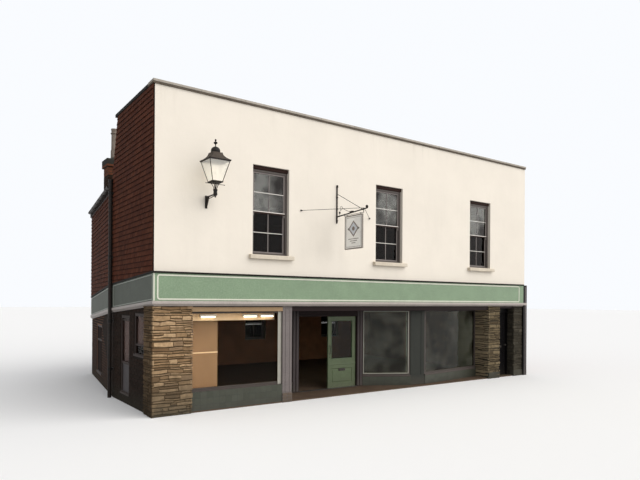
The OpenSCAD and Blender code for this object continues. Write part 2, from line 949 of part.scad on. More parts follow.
module sign_board() {
    board_t = 40;
    color("#d8dad6") translate([sign_x, 0, 0]) {
        box([-board_t / 2, -board_y0 - sign_w, board_top - sign_h],
            [board_t / 2, -board_y0, board_top]);
        for (y = [board_y0 + 90, board_y0 + sign_w - 90])
            translate([0, -y + 5, 0]) difference() {
                union() {
                    translate([0, 0, pin_z]) rotate([90, 0, 0]) cylinder(h = 10, r = 16);
                    box([-8, -10, board_top - eps], [8, 0, pin_z]);
                }
                translate([0, eps, pin_z]) rotate([90, 0, 0]) cylinder(h = 12, r = eye_r);
            }
    }
}

corner_pier();
middle_pier();
end_pier();
end_pilaster();
shop_pilaster();
shop_post();
shopfront_beam();
shopfront_soffit();
front_upper_wall();
front_coping();
parapet_capping();
side_lower_wall();
side_upper_wall();
rear_lane_lower_wall();
rear_lane_upper_wall();
rear_wall();
block_rear_wall();
party_wall();
ground_floor();
first_floor();
block_roof();
rear_roof_front();
rear_roof_back();
rear_roof_hip();
eaves_gutter();
lane_downpipe();
chimney_stack();
chimney_pot();
front_fascia();
side_fascia();
rear_side_fascia();
fascia_cornice();
stallrisers();
display_windows();
display_glass();
entrance_frame();
open_door_leaf();
shop_door();
shop_door_glass();
black_door_frame();
black_door();
side_windows();
side_window_glass();
sash_windows();
sash_glass();
window_sills();
rear_windows();
rear_window_glass();
lantern_bracket();
lantern_frame();
lantern_glass();
sign_bracket();
sign_stays();
sign_board();
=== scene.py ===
import json
import math
import random

import bmesh
import bpy
import numpy as np
from mathutils import Matrix, Vector, noise

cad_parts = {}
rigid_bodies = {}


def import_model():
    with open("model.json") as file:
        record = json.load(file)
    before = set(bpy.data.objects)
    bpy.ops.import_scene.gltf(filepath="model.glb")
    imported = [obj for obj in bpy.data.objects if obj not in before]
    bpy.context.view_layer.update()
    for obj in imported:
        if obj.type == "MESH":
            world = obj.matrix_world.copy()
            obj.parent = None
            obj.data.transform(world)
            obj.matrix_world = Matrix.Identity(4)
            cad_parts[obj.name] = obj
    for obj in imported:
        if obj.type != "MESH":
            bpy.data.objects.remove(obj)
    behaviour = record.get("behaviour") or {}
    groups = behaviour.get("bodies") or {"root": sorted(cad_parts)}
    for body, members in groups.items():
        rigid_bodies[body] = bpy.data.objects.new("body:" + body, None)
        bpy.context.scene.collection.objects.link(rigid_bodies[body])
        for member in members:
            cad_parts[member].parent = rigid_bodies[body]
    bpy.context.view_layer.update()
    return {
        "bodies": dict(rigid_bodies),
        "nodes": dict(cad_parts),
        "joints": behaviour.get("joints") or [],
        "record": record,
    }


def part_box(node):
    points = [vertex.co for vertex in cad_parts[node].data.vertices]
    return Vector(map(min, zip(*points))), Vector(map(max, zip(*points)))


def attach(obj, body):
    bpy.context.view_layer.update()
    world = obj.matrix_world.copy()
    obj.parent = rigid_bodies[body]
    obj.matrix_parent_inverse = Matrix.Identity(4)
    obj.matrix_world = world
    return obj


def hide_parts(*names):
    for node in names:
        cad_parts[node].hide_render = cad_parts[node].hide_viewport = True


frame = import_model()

X, Y, Z = Vector((1, 0, 0)), Vector((0, 1, 0)), Vector((0, 0, 1))

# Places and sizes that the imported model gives, in metres

front_wall_low, front_wall_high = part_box("front_upper_wall")
front_len = front_wall_high.x
wall_t = front_wall_high.y
beam_top = front_wall_low.z
coping_low, coping_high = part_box("front_coping")
tile_wall_low, tile_wall_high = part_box("side_upper_wall")
tile_face_x = tile_wall_low.x
block_depth = tile_wall_high.y
fascia_low, fascia_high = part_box("front_fascia")
cornice_foot = fascia_low.z - 0.11
end_strip_low, end_strip_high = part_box("end_pilaster")
floor_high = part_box("ground_floor")[1]
upper_floor_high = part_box("first_floor")[1]
corner_pier_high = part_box("corner_pier")[1]
soffit_low, soffit_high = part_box("shopfront_soffit")
roof_back_low, roof_back_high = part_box("rear_roof_back")
ridge_z = roof_back_high.z
ridge_y = roof_back_low.y
roof_back_y = roof_back_high.y
rear_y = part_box("rear_wall")[1].y
sill_low, sill_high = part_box("window_sills")

# Angles and levels of the rear range

rear_turn = math.radians(7.7)
rear_lane_way = Vector((-math.sin(rear_turn), -math.cos(rear_turn), 0))
eaves_z = 5.37
roof_pitch = math.radians(29)
lane_overhang = 0.06
lane_fall = math.tan(math.radians(3.6))
rear_lean = 0.47
rear_end_x = math.tan(rear_turn) * (rear_y - block_depth)
rear_lane_len = (rear_y - block_depth) / math.cos(rear_turn)

# Shared sizes of the sash windows

sash_left_edges = (2.316, 6.082, 9.943)
sash_w, sash_h = 0.99, 2.1
sash_z = sill_high.z

draw = random.Random(7)


# Modelling steps

def pick(piece):
    """Makes a piece the one that is selected and active."""
    bpy.ops.object.select_all(action="DESELECT")
    piece.select_set(True)
    bpy.context.view_layer.objects.active = piece


def settled(name, size=None):
    """Names the new primitive, and puts its place, turn and size into its mesh."""
    piece = bpy.context.object
    piece.name = piece.data.name = name
    if size:
        piece.scale = size
    bpy.ops.object.transform_apply(location=True, rotation=True, scale=True)
    return piece


def block(name, low, high):
    """Starts a piece as a box between two corners."""
    low, high = Vector(low), Vector(high)
    bpy.ops.object.select_all(action="DESELECT")
    bpy.ops.mesh.primitive_cube_add(size=1, location=(low + high) / 2)
    return settled(name, high - low)


def disc(name, centre, radius, facing=Z, sides=24, fill="NGON"):
    """Starts a piece as a round face, or as a bare ring of edges."""
    bpy.ops.object.select_all(action="DESELECT")
    turn = Z.rotation_difference(Vector(facing)).to_euler()
    bpy.ops.mesh.primitive_circle_add(vertices=sides, radius=radius, fill_type=fill, location=centre,
        rotation=turn)
    return settled(name)


def shape(piece, kind, chosen, *steps):
    """Runs edit mode steps on the faces, edges or corners that chosen is true for."""
    pick(piece)
    bpy.ops.object.mode_set(mode="EDIT")
    bpy.ops.mesh.select_mode(type=kind)
    bpy.ops.mesh.select_all(action="DESELECT")
    mesh = bmesh.from_edit_mesh(piece.data)
    for part in {"FACE": mesh.faces, "EDGE": mesh.edges, "VERT": mesh.verts}[kind]:
        if chosen(part):
            part.select_set(True)
    bmesh.update_edit_mesh(piece.data)
    for step in steps:
        step()
    bpy.ops.object.mode_set(mode="OBJECT")
    return piece


def facing(*directions):
    """True for faces that look along one of the directions."""
    return lambda face: any(face.normal.dot(Vector(d)) > 0.9 for d in directions)


def all_parts(part):
    return True


def running(direction, near=None):
    """True for edges along a direction, and near a place if one is given."""
    direction = Vector(direction)

    def chosen(edge):
        run = edge.verts[1].co - edge.verts[0].co
        along = run.length > 1e-6 and abs(run.normalized().dot(direction)) > 0.99
        return along and (near is None or near((edge.verts[0].co + edge.verts[1].co) / 2))
    return chosen


def inset(width, depth=0.0):
    return lambda: bpy.ops.mesh.inset(thickness=width, depth=depth)


def bridge():
    bpy.ops.mesh.bridge_edge_loops()


def push(offset):
    """Extrudes what is selected by an offset."""
    return lambda: bpy.ops.mesh.extrude_region_move(TRANSFORM_OT_translate={"value": tuple(offset)})


def move(offset):
    return lambda: bpy.ops.transform.translate(value=tuple(offset))


def bend(angle, centre, axis, steps=6):
    """Sweeps what is selected round an axis, by the right-hand rule."""
    return lambda: bpy.ops.mesh.spin(steps=steps, angle=-angle, center=tuple(centre), axis=tuple(axis),
        dupli=False)


def round_off(width, segments=2, profile=0.5):
    return lambda: bpy.ops.mesh.bevel(offset=width, segments=segments, profile=profile, affect="EDGES")


def round_edges(piece, direction, near, width, segments=2):
    """Rounds the edges that run along a direction, near a place."""
    return shape(piece, "EDGE", running(direction, near), round_off(width, segments))


def cut(piece, place, normal, **settings):
    """Cuts a piece's faces along a plane."""
    return shape(piece, "FACE", all_parts, lambda: bpy.ops.mesh.bisect(plane_co=tuple(place),
        plane_no=tuple(normal), **settings))


def face_outwards():
    bpy.ops.mesh.select_all(action="SELECT")
    bpy.ops.mesh.remove_doubles(threshold=0.00005)
    bpy.ops.mesh.normals_make_consistent(inside=False)


def soften(piece, width, segments=2, angle=40):
    """Eases a piece's sharp edges with a bevel."""
    pick(piece)
    ease = piece.modifiers.new("ease", "BEVEL")
    ease.width = width
    ease.segments = segments
    ease.limit_method = "ANGLE"
    ease.angle_limit = math.radians(angle)
    bpy.ops.object.modifier_apply(modifier=ease.name)
    return piece


def smooth(piece, angle=35):
    pick(piece)
    bpy.ops.object.shade_smooth_by_angle(angle=math.radians(angle))
    return piece


def join(pieces, name):
    """Joins pieces into one, under a new name."""
    bpy.ops.object.select_all(action="DESELECT")
    for piece in pieces:
        piece.select_set(True)
    bpy.context.view_layer.objects.active = pieces[0]
    if len(pieces) > 1:
        bpy.ops.object.join()
    pieces[0].name = pieces[0].data.name = name
    return pieces[0]


def batten(name, low, high, ease=0.004):
    """A strip with eased edges."""
    return soften(block(name, low, high), ease)


def moved(piece, place):
    """Moves a piece's mesh by a matrix, so that its object stays at the origin."""
    piece.data.transform(place)
    return piece


def ring(name, low, high, bar, across="Y", ease=0.004):
    """A rectangular frame with bars of one width, open along the axis across."""
    axis = {"X": X, "Y": Y, "Z": Z}[across]
    piece = block(name, low, high)
    shape(piece, "FACE", facing(axis, -axis), inset(bar), bridge)
    return soften(piece, ease)


def drawn_out(name, centre, radius, facing, sides, *steps):
    """A round face that edit steps draw out into a closed body."""
    return shape(disc(name, centre, radius, facing, sides), "FACE", all_parts, *steps, face_outwards)


def turned(name, foot, outline, sides=24):
    """A round piece that is turned upwards; outline lists its radius and height."""
    foot = Vector(foot)
    first_radius, first_height = radius, height = outline[0]
    steps = []
    for next_radius, next_height in outline[1:]:
        steps.append(push(Z * (next_height - height)))
        steps.append(widen_flat(next_radius / radius, foot + Z * next_height))
        radius, height = next_radius, next_height
    return smooth(drawn_out(name, foot + Z * first_height, first_radius, Z, sides, *steps))


def widen_flat(factor, centre):
    return lambda: bpy.ops.transform.resize(value=(factor, factor, 1), center_override=tuple(centre))


def rod(name, start, end, radius, sides=12):
    """A straight round bar."""
    start, end = Vector(start), Vector(end)
    run = end - start
    return smooth(drawn_out(name, start, radius, run.normalized(), sides, push(run)))


def bar_along(name, points, radius, sides=10):
    """A round bar through a row of points that turn gently."""
    points = [Vector(p) for p in points]
    steps = [push(b - a) for a, b in zip(points[:-1], points[1:])]
    way = (points[-1] - points[0]).normalized()
    return smooth(drawn_out(name, points[0], radius, way, sides, *steps))


def loop(name, centre, radius, thickness, axis, sides=10, steps=32):
    """A closed ring of round bar."""
    centre, axis = Vector(centre), Vector(axis).normalized()
    out = axis.orthogonal().normalized()
    piece = disc(name, centre + out * radius, thickness, axis.cross(out), sides, "NOTHING")
    shape(piece, "EDGE", all_parts, bend(2 * math.pi, centre, axis, steps), face_outwards)
    return smooth(piece)


def ball(name, centre, radius, sides=16):
    """A ball that is turned from a stack of rings."""
    steps = 8
    outline = [(max(radius * math.sin(math.pi * n / steps), 0.001),
        -radius * math.cos(math.pi * n / steps)) for n in range(steps + 1)]
    return turned(name, centre, outline, sides)


finishes = {}


def dress(piece, finish, slot=None, replaces=None, body="building"):
    """Gives a piece its finish and its body. The slot is not used."""
    piece.data.materials.clear()
    piece.data.materials.append(finishes[finish])
    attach(piece, body)
    slot or finish
    if replaces:
        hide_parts(replaces)
    return piece


# Camera, at the photograph's place and angle

FOCAL_PIXELS = 558.92
PHOTO_W, PHOTO_H = 640, 480
HORIZON_ROW = 301.56
CAMERA_TURN = 0.6176
CAMERA_ROLL = 0.0061
camera_place = Vector((-3.912, -11.48, 2.435))


def set_camera():
    ahead = Vector((math.sin(CAMERA_TURN), math.cos(CAMERA_TURN), 0))
    level = Vector((math.cos(CAMERA_TURN), -math.sin(CAMERA_TURN), 0))
    right = math.cos(CAMERA_ROLL) * level + math.sin(CAMERA_ROLL) * Z
    above = math.cos(CAMERA_ROLL) * Z - math.sin(CAMERA_ROLL) * level
    lens = bpy.data.cameras.new("street_camera")
    lens.sensor_width = 36
    lens.lens = FOCAL_PIXELS / PHOTO_W * lens.sensor_width
    lens.shift_y = (HORIZON_ROW - PHOTO_H / 2) / PHOTO_W
    lens.clip_end = 500
    camera = bpy.data.objects.new("street_camera", lens)
    bpy.context.scene.collection.objects.link(camera)
    turn = Matrix((right, above, -ahead)).transposed().to_4x4()
    camera.matrix_world = Matrix.Translation(camera_place) @ turn
    bpy.context.scene.camera = camera


# Node tools for the light and the finishes

def fill(tree, node, values):
    """Gives a node's sockets their values, as links or as plain values."""
    for name, value in values.items():
        if isinstance(value, bpy.types.NodeSocket):
            tree.links.new(value, node.inputs[name])
        else:
            node.inputs[name].default_value = value
    return node


def put(tree, kind, values=None, **settings):
    """Adds a shader node with its settings and its sockets' values."""
    made = tree.nodes.new("ShaderNode" + kind)
    for name, value in settings.items():
        setattr(made, name, value)
    return fill(tree, made, values or {})


def use(tree, group, values):
    """Places a node group and returns its outputs."""
    return put(tree, "Group", values, node_tree=group).outputs


def blend(tree, factor, first, second):
    """Blends two colours."""
    first, second = (c if isinstance(c, bpy.types.NodeSocket) else (*c, 1)[:4] for c in (first, second))
    return put(tree, "Mix", {0: factor, 6: first, 7: second}, data_type="RGBA").outputs[2]


def sums(tree, operation, first, second=0.5):
    return put(tree, "Math", {0: first, 1: second}, operation=operation).outputs[0]


def between(tree, value, low, high, to_low=0.0, to_high=1.0):
    """A value spread from one range to another, and held at its ends."""
    return put(tree, "MapRange", {"Value": value, "From Min": low, "From Max": high, "To Min": to_low,
        "To Max": to_high}).outputs["Result"]


def along_axis(tree, place, axis):
    return put(tree, "SeparateXYZ", {0: place}).outputs[axis]


def stretched(tree, vector, scale):
    return put(tree, "Mapping", {"Vector": vector, "Scale": scale}).outputs["Vector"]


def speckle(tree, vector, scale, detail=4.0, rough=0.55):
    return put(tree, "TexNoise", {"Vector": vector, "Scale": scale, "Detail": detail,
        "Roughness": rough}).outputs["Fac"]


def courses(tree, along, up, colours, size, joint, blur, shift):
    """A pattern of bricks or tiles in courses: two shades and the joint."""
    flat = put(tree, "CombineXYZ", {"X": along, "Y": up}).outputs[0]
    first, second, mortar = ((*c, 1) for c in colours)
    return put(tree, "TexBrick", {"Vector": flat, "Color1": first, "Color2": second, "Mortar": mortar,
        "Scale": 1.0, "Mortar Size": joint, "Mortar Smooth": blur, "Bias": 0.0, "Brick Width": size[0],
        "Row Height": size[1]}, offset=shift).outputs


# Light, floor and background

SKY_LEVEL = 0.56
SUN_LEVEL = 2.95
SUN_WIDTH = 90
FLOOR_SIDE = 400
FLOOR_BOUNCE = 0.48
FLOOR_SEEN = 0.9


def seen_directly(tree):
    """A mask of the camera, mirror and glass rays, for a background that stays white."""
    rays = put(tree, "LightPath").outputs
    mirrored = sums(tree, "MAXIMUM", rays["Is Camera Ray"], rays["Is Glossy Ray"])
    return sums(tree, "MAXIMUM", mirrored, rays["Is Transmission Ray"])


def set_light():
    world = bpy.data.worlds.new("studio_sky")
    bpy.context.scene.world = world
    world.use_nodes = True
    tree = world.node_tree
    fill(tree, tree.nodes["Background"], {"Color": (0.95, 0.97, 1.0, 1), "Strength": between(tree,
        seen_directly(tree), 0, 1, SKY_LEVEL, 1.0)})
    lamp = bpy.data.lights.new("soft_sun", "SUN")
    lamp.energy = SUN_LEVEL
    lamp.angle = math.radians(SUN_WIDTH)
    lamp.color = (1.0, 0.965, 0.92)
    sun = bpy.data.objects.new("soft_sun", lamp)
    bpy.context.scene.collection.objects.link(sun)
    shines = Vector((-0.42, 0.8, -0.55))
    sun.rotation_euler = shines.to_track_quat("-Z", "Y").to_euler()


def set_floor():
    bpy.ops.object.select_all(action="DESELECT")
    bpy.ops.mesh.primitive_plane_add(size=FLOOR_SIDE)
    floor = bpy.context.object
    floor.name = "studio_floor"
    material = bpy.data.materials.new("studio_floor")
    material.use_nodes = True
    tree = material.node_tree
    fill(tree, tree.nodes["Principled BSDF"], {"Base Color": between(tree, seen_directly(tree), 0, 1,
        FLOOR_BOUNCE, FLOOR_SEEN), "Roughness": 0.9, "Specular IOR Level": 0.1})
    floor.data.materials.append(material)


bpy.context.scene.view_settings.view_transform = "Standard"
set_camera()
set_light()
set_floor()


# Node groups that the finishes share

def new_group(name, inputs):
    """Starts a shader node group; returns it and its inputs. Place is the only vector."""
    group = bpy.data.node_groups.new(name, "ShaderNodeTree")
    group.interface.new_socket("Place", in_out="INPUT", socket_type="NodeSocketVector")
    for label, value in inputs.items():
        socket = group.interface.new_socket(label, in_out="INPUT", socket_type="NodeSocketFloat")
        socket.default_value = value
    return group, group.nodes.new("NodeGroupInput").outputs


def give(group, values):
    """Closes a node group with its named outputs."""
    for label in values:
        group.interface.new_socket(label, in_out="OUTPUT", socket_type="NodeSocketFloat")
    fill(group, group.nodes.new("NodeGroupOutput"), values)
    return group


def mottle_group():
    """Broad patches and fine grain, as on paint, render and stone."""
    group, given = new_group("mottle", {"Patch": 1.0, "Grain": 40.0})
    patches = speckle(group, given["Place"], given["Patch"], 5.0, 0.6)
    grain = speckle(group, given["Place"], given["Grain"], 3.0, 0.6)
    height = sums(group, "ADD", sums(group, "MULTIPLY", patches, 0.4), sums(group, "MULTIPLY", grain,
        0.6))
    return give(group, {"Patches": between(group, patches, 0.35, 0.65), "Grain": between(group, grain,
        0.3, 0.7), "Height": height})


def rain_group():
    """Long streaks that rain leaves on an upright face."""
    group, given = new_group("rain_streaks", {"Width": 6.0})
    long = stretched(group, given["Place"], (1.0, 1.0, 0.07))
    fine = between(group, speckle(group, long, given["Width"], 4.0, 0.6), 0.5, 0.75)
    broad = between(group, speckle(group, given["Place"], 0.7, 2.0), 0.4, 0.62)
    return give(group, {"Streaks": sums(group, "MULTIPLY", fine, broad)})


def splash_group():
    """Dirt that thins out upwards from the ground."""
    group, given = new_group("ground_splash", {"Height": 0.5})
    wobble = sums(group, "MULTIPLY", speckle(group, given["Place"], 5.0), 0.5)
    level = sums(group, "DIVIDE", along_axis(group, given["Place"], "Z"), given["Height"])
    dirt = between(group, sums(group, "SUBTRACT", level, wobble), 0.7, -0.3)
    return give(group, {"Dirt": dirt})


def wear_group():
    """Worn arrises, from how sharply the surface turns."""
    group, given = new_group("worn_arrises", {"Amount": 0.5})
    edge = between(group, put(group, "NewGeometry").outputs["Pointiness"], 0.505, 0.56)
    broken = between(group, speckle(group, given["Place"], 30.0), 0.42, 0.62)
    both = sums(group, "MULTIPLY", edge, broken)
    return give(group, {"Wear": sums(group, "MULTIPLY", both, given["Amount"])})


def brick_group():
    """Bricks in courses, on any upright face: the joints, each brick's own shade and height."""
    group, given = new_group("brick_courses", {})
    parts = put(group, "SeparateXYZ", {0: given["Place"]}).outputs
    bricks = courses(group, sums(group, "ADD", parts["X"], parts["Y"]), parts["Z"],
        ((0, 0, 0), (1, 1, 1), (0, 0, 0)), (0.225, 0.075), 0.005, 0.3, 0.5)
    rough = sums(group, "MULTIPLY", speckle(group, given["Place"], 60.0), 0.25)
    up = sums(group, "SUBTRACT", 1.0, bricks["Fac"])
    return give(group, {"Joint": bricks["Fac"], "Shade": put(group, "RGBToBW",
        {0: bricks["Color"]}).outputs[0], "Height": sums(group, "ADD", up, rough)})


MOTTLE, RAIN, SPLASH, WEAR, BRICKS = (mottle_group(), rain_group(), splash_group(), wear_group(),
    brick_group())


# Finishes

ROUGH_SHEEN = 0.06
TILE_GAUGE = 0.115
TILE_W = 0.165
TILE_T = 0.012
ROOF_GAUGE = 0.1


def tone(colour, factor):
    return tuple(min(1.0, c * factor) for c in colour)


class Finish:
    """A material on Object coordinates, whose colour is built up in layers."""

    def __init__(self, name, roughness=0.7, specular=0.4):
        self.material = bpy.data.materials.new(name)
        finishes[name] = self.material
        self.material.use_nodes = True
        self.tree = self.material.node_tree
        self.place = put(self.tree, "TexCoord").outputs["Object"]
        self.set({"Roughness": roughness, "Specular IOR Level": specular})

    def set(self, values):
        fill(self.tree, self.tree.nodes["Principled BSDF"], values)

    def use(self, group, **values):
        return use(self.tree, group, {"Place": self.place, **values})

    def mottle(self, patch, grain, first=None, second=None):
        """Adds patches and grain, and starts the colour with the patches' two tones."""
        self.mottled = self.use(MOTTLE, Patch=patch, Grain=grain)
        if first:
            self.colour = blend(self.tree, self.mottled["Patches"], first, second)

    def layer(self, mask, colour, amount=None):
        """Lays a colour over the others where the mask is; an amount thins it."""
        if amount is not None:
            mask = sums(self.tree, "MULTIPLY", mask, amount)
        self.colour = blend(self.tree, mask, self.colour, colour)

    def rain(self, width, amount, colour):
        self.layer(self.use(RAIN, Width=width)["Streaks"], colour, amount)

    def splash(self, height, amount, colour):
        self.layer(self.use(SPLASH, Height=height)["Dirt"], colour, amount)

    def wear(self, amount, colour):
        self.layer(self.use(WEAR, Amount=amount)["Wear"], colour)

    def vary_roughness(self, low, high):
        self.set({"Roughness": between(self.tree, self.mottled["Grain"], 0, 1, low, high)})

    def done(self, height, depth):
        """Gives the shader its colour and its bump, and returns the material."""
        bump = put(self.tree, "Bump", {"Height": height, "Distance": depth, "Strength": 1.0})
        self.set({"Base Color": self.colour, "Normal": bump.outputs["Normal"]})
        return self.material


def paint(name, colour, roughness=0.45, wear=0.35, dirt=0.5, under=None, sheen=0.25):
    """Brushed paint with slight patches, worn arrises and dirt near the ground."""
    coat = Finish(name, roughness, sheen)
    tree = coat.tree
    coat.mottle(3.0, 60.0, tone(colour, 0.93), tone(colour, 1.05))
    coat.rain(14.0, dirt * 0.5, tone(colour, 0.62))
    coat.splash(0.35, dirt, (0.1, 0.088, 0.07))
    coat.wear(wear, under or tone(colour, 1.5))
    coat.vary_roughness(roughness - 0.07, roughness + 0.1)
    brushed = speckle(tree, stretched(tree, coat.place, (1.0, 1.0, 0.15)), 90.0, 2.0)
    return coat.done(sums(tree, "ADD", brushed, coat.mottled["Height"]), 0.0006)


def iron(name, colour, roughness=0.42, sheen=0.2):
    """Painted iron with a little rust at its arrises."""
    coat = Finish(name, roughness, sheen)
    coat.mottle(8.0, 120.0, colour, tone(colour, 1.6))
    coat.wear(0.25, (0.07, 0.035, 0.02))
    coat.vary_roughness(roughness - 0.1, roughness + 0.15)
    return coat.done(coat.mottled["Height"], 0.0008)


def stone(name, colour, dark, roughness=0.85, patch=2.0, depth=0.004, dirt=0.6, rain=0.5):
    """Weathered stone or cement with patches, grain, rain streaks and splash."""
    skin = Finish(name, roughness, ROUGH_SHEEN)
    skin.mottle(patch, 35.0, colour, dark)
    skin.layer(skin.mottled["Grain"], tone(dark, 0.6), 0.35)
    skin.rain(8.0, rain, tone(dark, 0.5))
    skin.splash(0.6, dirt, (0.055, 0.05, 0.038))
    return skin.done(skin.mottled["Height"], depth)


def laid(name, colours, dark, roughness=0.8, depth=0.003, grain=45.0, dirt=0.5, moss=0.0,
        dirt_height=0.5, painted_side_tone=None, course_foot=None):
    """Clay or stone pieces laid one by one, each with its own shade.

    Courses of tiles that start at a height course_foot get a painted shadow under the next tiles' feet.
    The side that looks along -X, past the x that the side tone gives first, goes over to a tone of its
    own: painted shade on the corner pier's lane side, painted light on the middle pier's return."""
    skin = Finish(name, roughness, ROUGH_SHEEN)
    tree, place = skin.tree, skin.place
    shade = put(tree, "Attribute", attribute_name="shade").outputs["Fac"]
    ramp = put(tree, "ValToRGB", {"Fac": shade})
    stops = ramp.color_ramp.elements
    while len(stops) < len(colours):
        stops.new(0.5)
    for number, colour in enumerate(colours):
        stops[number].position = number / (len(colours) - 1)
        stops[number].color = (*colour, 1)
    skin.colour = ramp.outputs["Color"]
    skin.mottle(12.0, grain)
    skin.layer(skin.mottled["Patches"], dark, 0.45)
    skin.layer(between(tree, speckle(tree, place, 0.8, 3.0), 0.35, 0.65), tone(dark, 0.7), 0.3)
    if moss:
        grown = between(tree, speckle(tree, place, 6.0, 5.0), 0.6, 0.72)
        skin.layer(grown, (0.1, 0.105, 0.045), moss)
    skin.splash(dirt_height, dirt, (0.05, 0.048, 0.036))
    if course_foot:
        # Painted shadow: the top of each tile's visible part darkens where the next course's foot shades
        # it.
        height = sums(tree, "SUBTRACT", along_axis(tree, place, "Z"), course_foot)
        up_the_tile = sums(tree, "FRACT", sums(tree, "DIVIDE", height, TILE_GAUGE))
        skin.layer(between(tree, up_the_tile, 0.72, 0.98, 0.0, 0.8), tone(dark, 0.25))
    # Painted light and shade: the faces that look along -X go over to a tone of their own.
    if painted_side_tone:
        turn_x, amount, painted_side_colour = painted_side_tone
        across = along_axis(tree, place, "X")
        skin.layer(between(tree, across, turn_x, turn_x - 0.016, 0.0, amount), painted_side_colour)
    return skin.done(skin.mottled["Height"], depth)


def render_finish():
    """Smooth painted render: warm cream, with faint patches and stains under the coping."""
    skin = Finish("cream_render", 0.8, 0.25)
    tree = skin.tree
    colour = (0.8, 0.742, 0.655)
    skin.mottle(0.9, 30.0, tone(colour, 0.975), tone(colour, 1.02))
    below = between(tree, along_axis(tree, skin.place, "Z"), coping_low.z - 0.7, coping_low.z)
    amount = sums(tree, "ADD", 0.06, sums(tree, "MULTIPLY", below, 0.3))
    skin.rain(5.0, amount, (0.42, 0.38, 0.31))
    grain = sums(tree, "MULTIPLY", skin.mottled["Height"], 0.3)
    return skin.done(sums(tree, "ADD", speckle(tree, skin.place, 2.5, 3.0), grain), 0.006)


def brick_finish(name, light, dark, joint):
    """A plain brick wall, with its courses drawn in colour and bump."""
    skin = Finish(name, 0.85, 0.25)
    bricks = skin.use(BRICKS)
    skin.mottle(1.2, 50.0)
    skin.colour = blend(skin.tree, bricks["Shade"], dark, light)
    skin.layer(skin.mottled["Patches"], tone(dark, 0.7), 0.35)
    skin.layer(bricks["Joint"], joint)
    skin.splash(0.7, 0.5, (0.06, 0.055, 0.04))
    return skin.done(bricks["Height"], 0.006)


def tiled_finish():
    """Glazed wall tiles of 150 mm, greyish green and dirty, with dark joints."""
    skin = Finish("stallriser_tiles", 0.35, 0.3)
    tree = skin.tree
    parts = put(tree, "SeparateXYZ", {0: skin.place}).outputs
    along = sums(tree, "ADD", parts["X"], sums(tree, "MULTIPLY", parts["Y"], 0.4))
    shades = ((0.04, 0.045, 0.032), (0.058, 0.063, 0.047), (0.025, 0.025, 0.022))
    tiles = courses(tree, along, parts["Z"], shades, (0.15, 0.15), 0.003, 0.2, 0.0)
    skin.colour = tiles["Color"]
    skin.mottle(4.0, 70.0)
    skin.layer(skin.mottled["Patches"], (0.04, 0.04, 0.028), 0.5)
    skin.splash(0.25, 0.7, (0.04, 0.038, 0.03))
    skin.vary_roughness(0.25, 0.55)
    return skin.done(sums(tree, "SUBTRACT", 1.0, tiles["Fac"]), 0.002)


def board_finish():
    """Floor boards above, and a pale painted ceiling on the underside."""
    skin = Finish("floor_boards", 0.6)
    tree, place = skin.tree, skin.place
    parts = put(tree, "SeparateXYZ", {0: place}).outputs
    gap = sums(tree, "LESS_THAN", sums(tree, "FRACT", sums(tree, "DIVIDE", parts["Y"], 0.16)), 0.03)
    grain = speckle(tree, stretched(tree, place, (0.6, 12.0, 1.0)), 4.0, 6.0)
    skin.colour = blend(tree, grain, (0.3, 0.19, 0.105), (0.42, 0.29, 0.17))
    skin.layer(gap, (0.04, 0.03, 0.02))
    under = sums(tree, "LESS_THAN", parts["Z"], upper_floor_high.z - 0.05)
    skin.layer(under, blend(tree, speckle(tree, place, 3.0), (0.62, 0.56, 0.45), (0.72, 0.67, 0.56)))
    return skin.done(sums(tree, "SUBTRACT", grain, gap), 0.002)


def glass(name, colour, roughness=0.02, index=1.2, silver=0.0, dark=None, clear=1.0, painted_glow=0.0):
    """Glass that lets the lamps through.

    Where dark is given, broad pale patches are a painted reflection of the sky, and it is dark between
    them."""
    sheet = Finish(name, roughness, 0.5)
    tree, place = sheet.tree, sheet.place
    sheet.colour = (*colour, 1)
    if dark:
        # Painted reflection: pale patches of sky laid into the glass's base colour.
        patches = between(tree, speckle(tree, place, 1.1, 2.0), 0.4, 0.56)
        sheet.colour = blend(tree, patches, dark, colour)
    # Painted glow: where its strength is given, the glass gives off its own colour, though no lamp is
    # lit.
    sheet.set({"Emission Color": (*colour, 1), "Emission Strength": painted_glow, "Metallic": silver,
        "Transmission Weight": clear, "IOR": index})
    shadow = put(tree, "LightPath").outputs["Is Shadow Ray"]
    see_through = put(tree, "BsdfTransparent", {"Color": (*colour, 1)}).outputs[0]
    solid = tree.nodes["Principled BSDF"].outputs[0]
    both = put(tree, "MixShader", {0: shadow, 1: solid, 2: see_through}).outputs[0]
    fill(tree, tree.nodes["Material Output"], {"Surface": both})
    return sheet.done(speckle(tree, place, 2.2, 2.0), 0.004)


def glow_finish():
    """A strip light's tube."""
    tube = Finish("strip_light", 0.4)
    warm = blend(tube.tree, speckle(tube.tree, tube.place, 3.0), (1.0, 0.87, 0.62), (1.0, 0.92, 0.74))
    tube.set({"Base Color": (0.9, 0.86, 0.74, 1), "Emission Color": warm, "Emission Strength": 4.0})
    return tube.material


render_finish()
# Corner pier stones; their lane side goes dark, a painted shade.
laid("tan_rubble",
    [(0.175, 0.106, 0.055), (0.405, 0.265, 0.142), (0.62, 0.43, 0.25), (0.31, 0.21, 0.125)],
    (0.15, 0.094, 0.052), 0.9, 0.014, 22.0, dirt=0.9, dirt_height=1.25,
    painted_side_tone=(-0.03, 0.72, (0.045, 0.029, 0.016)))
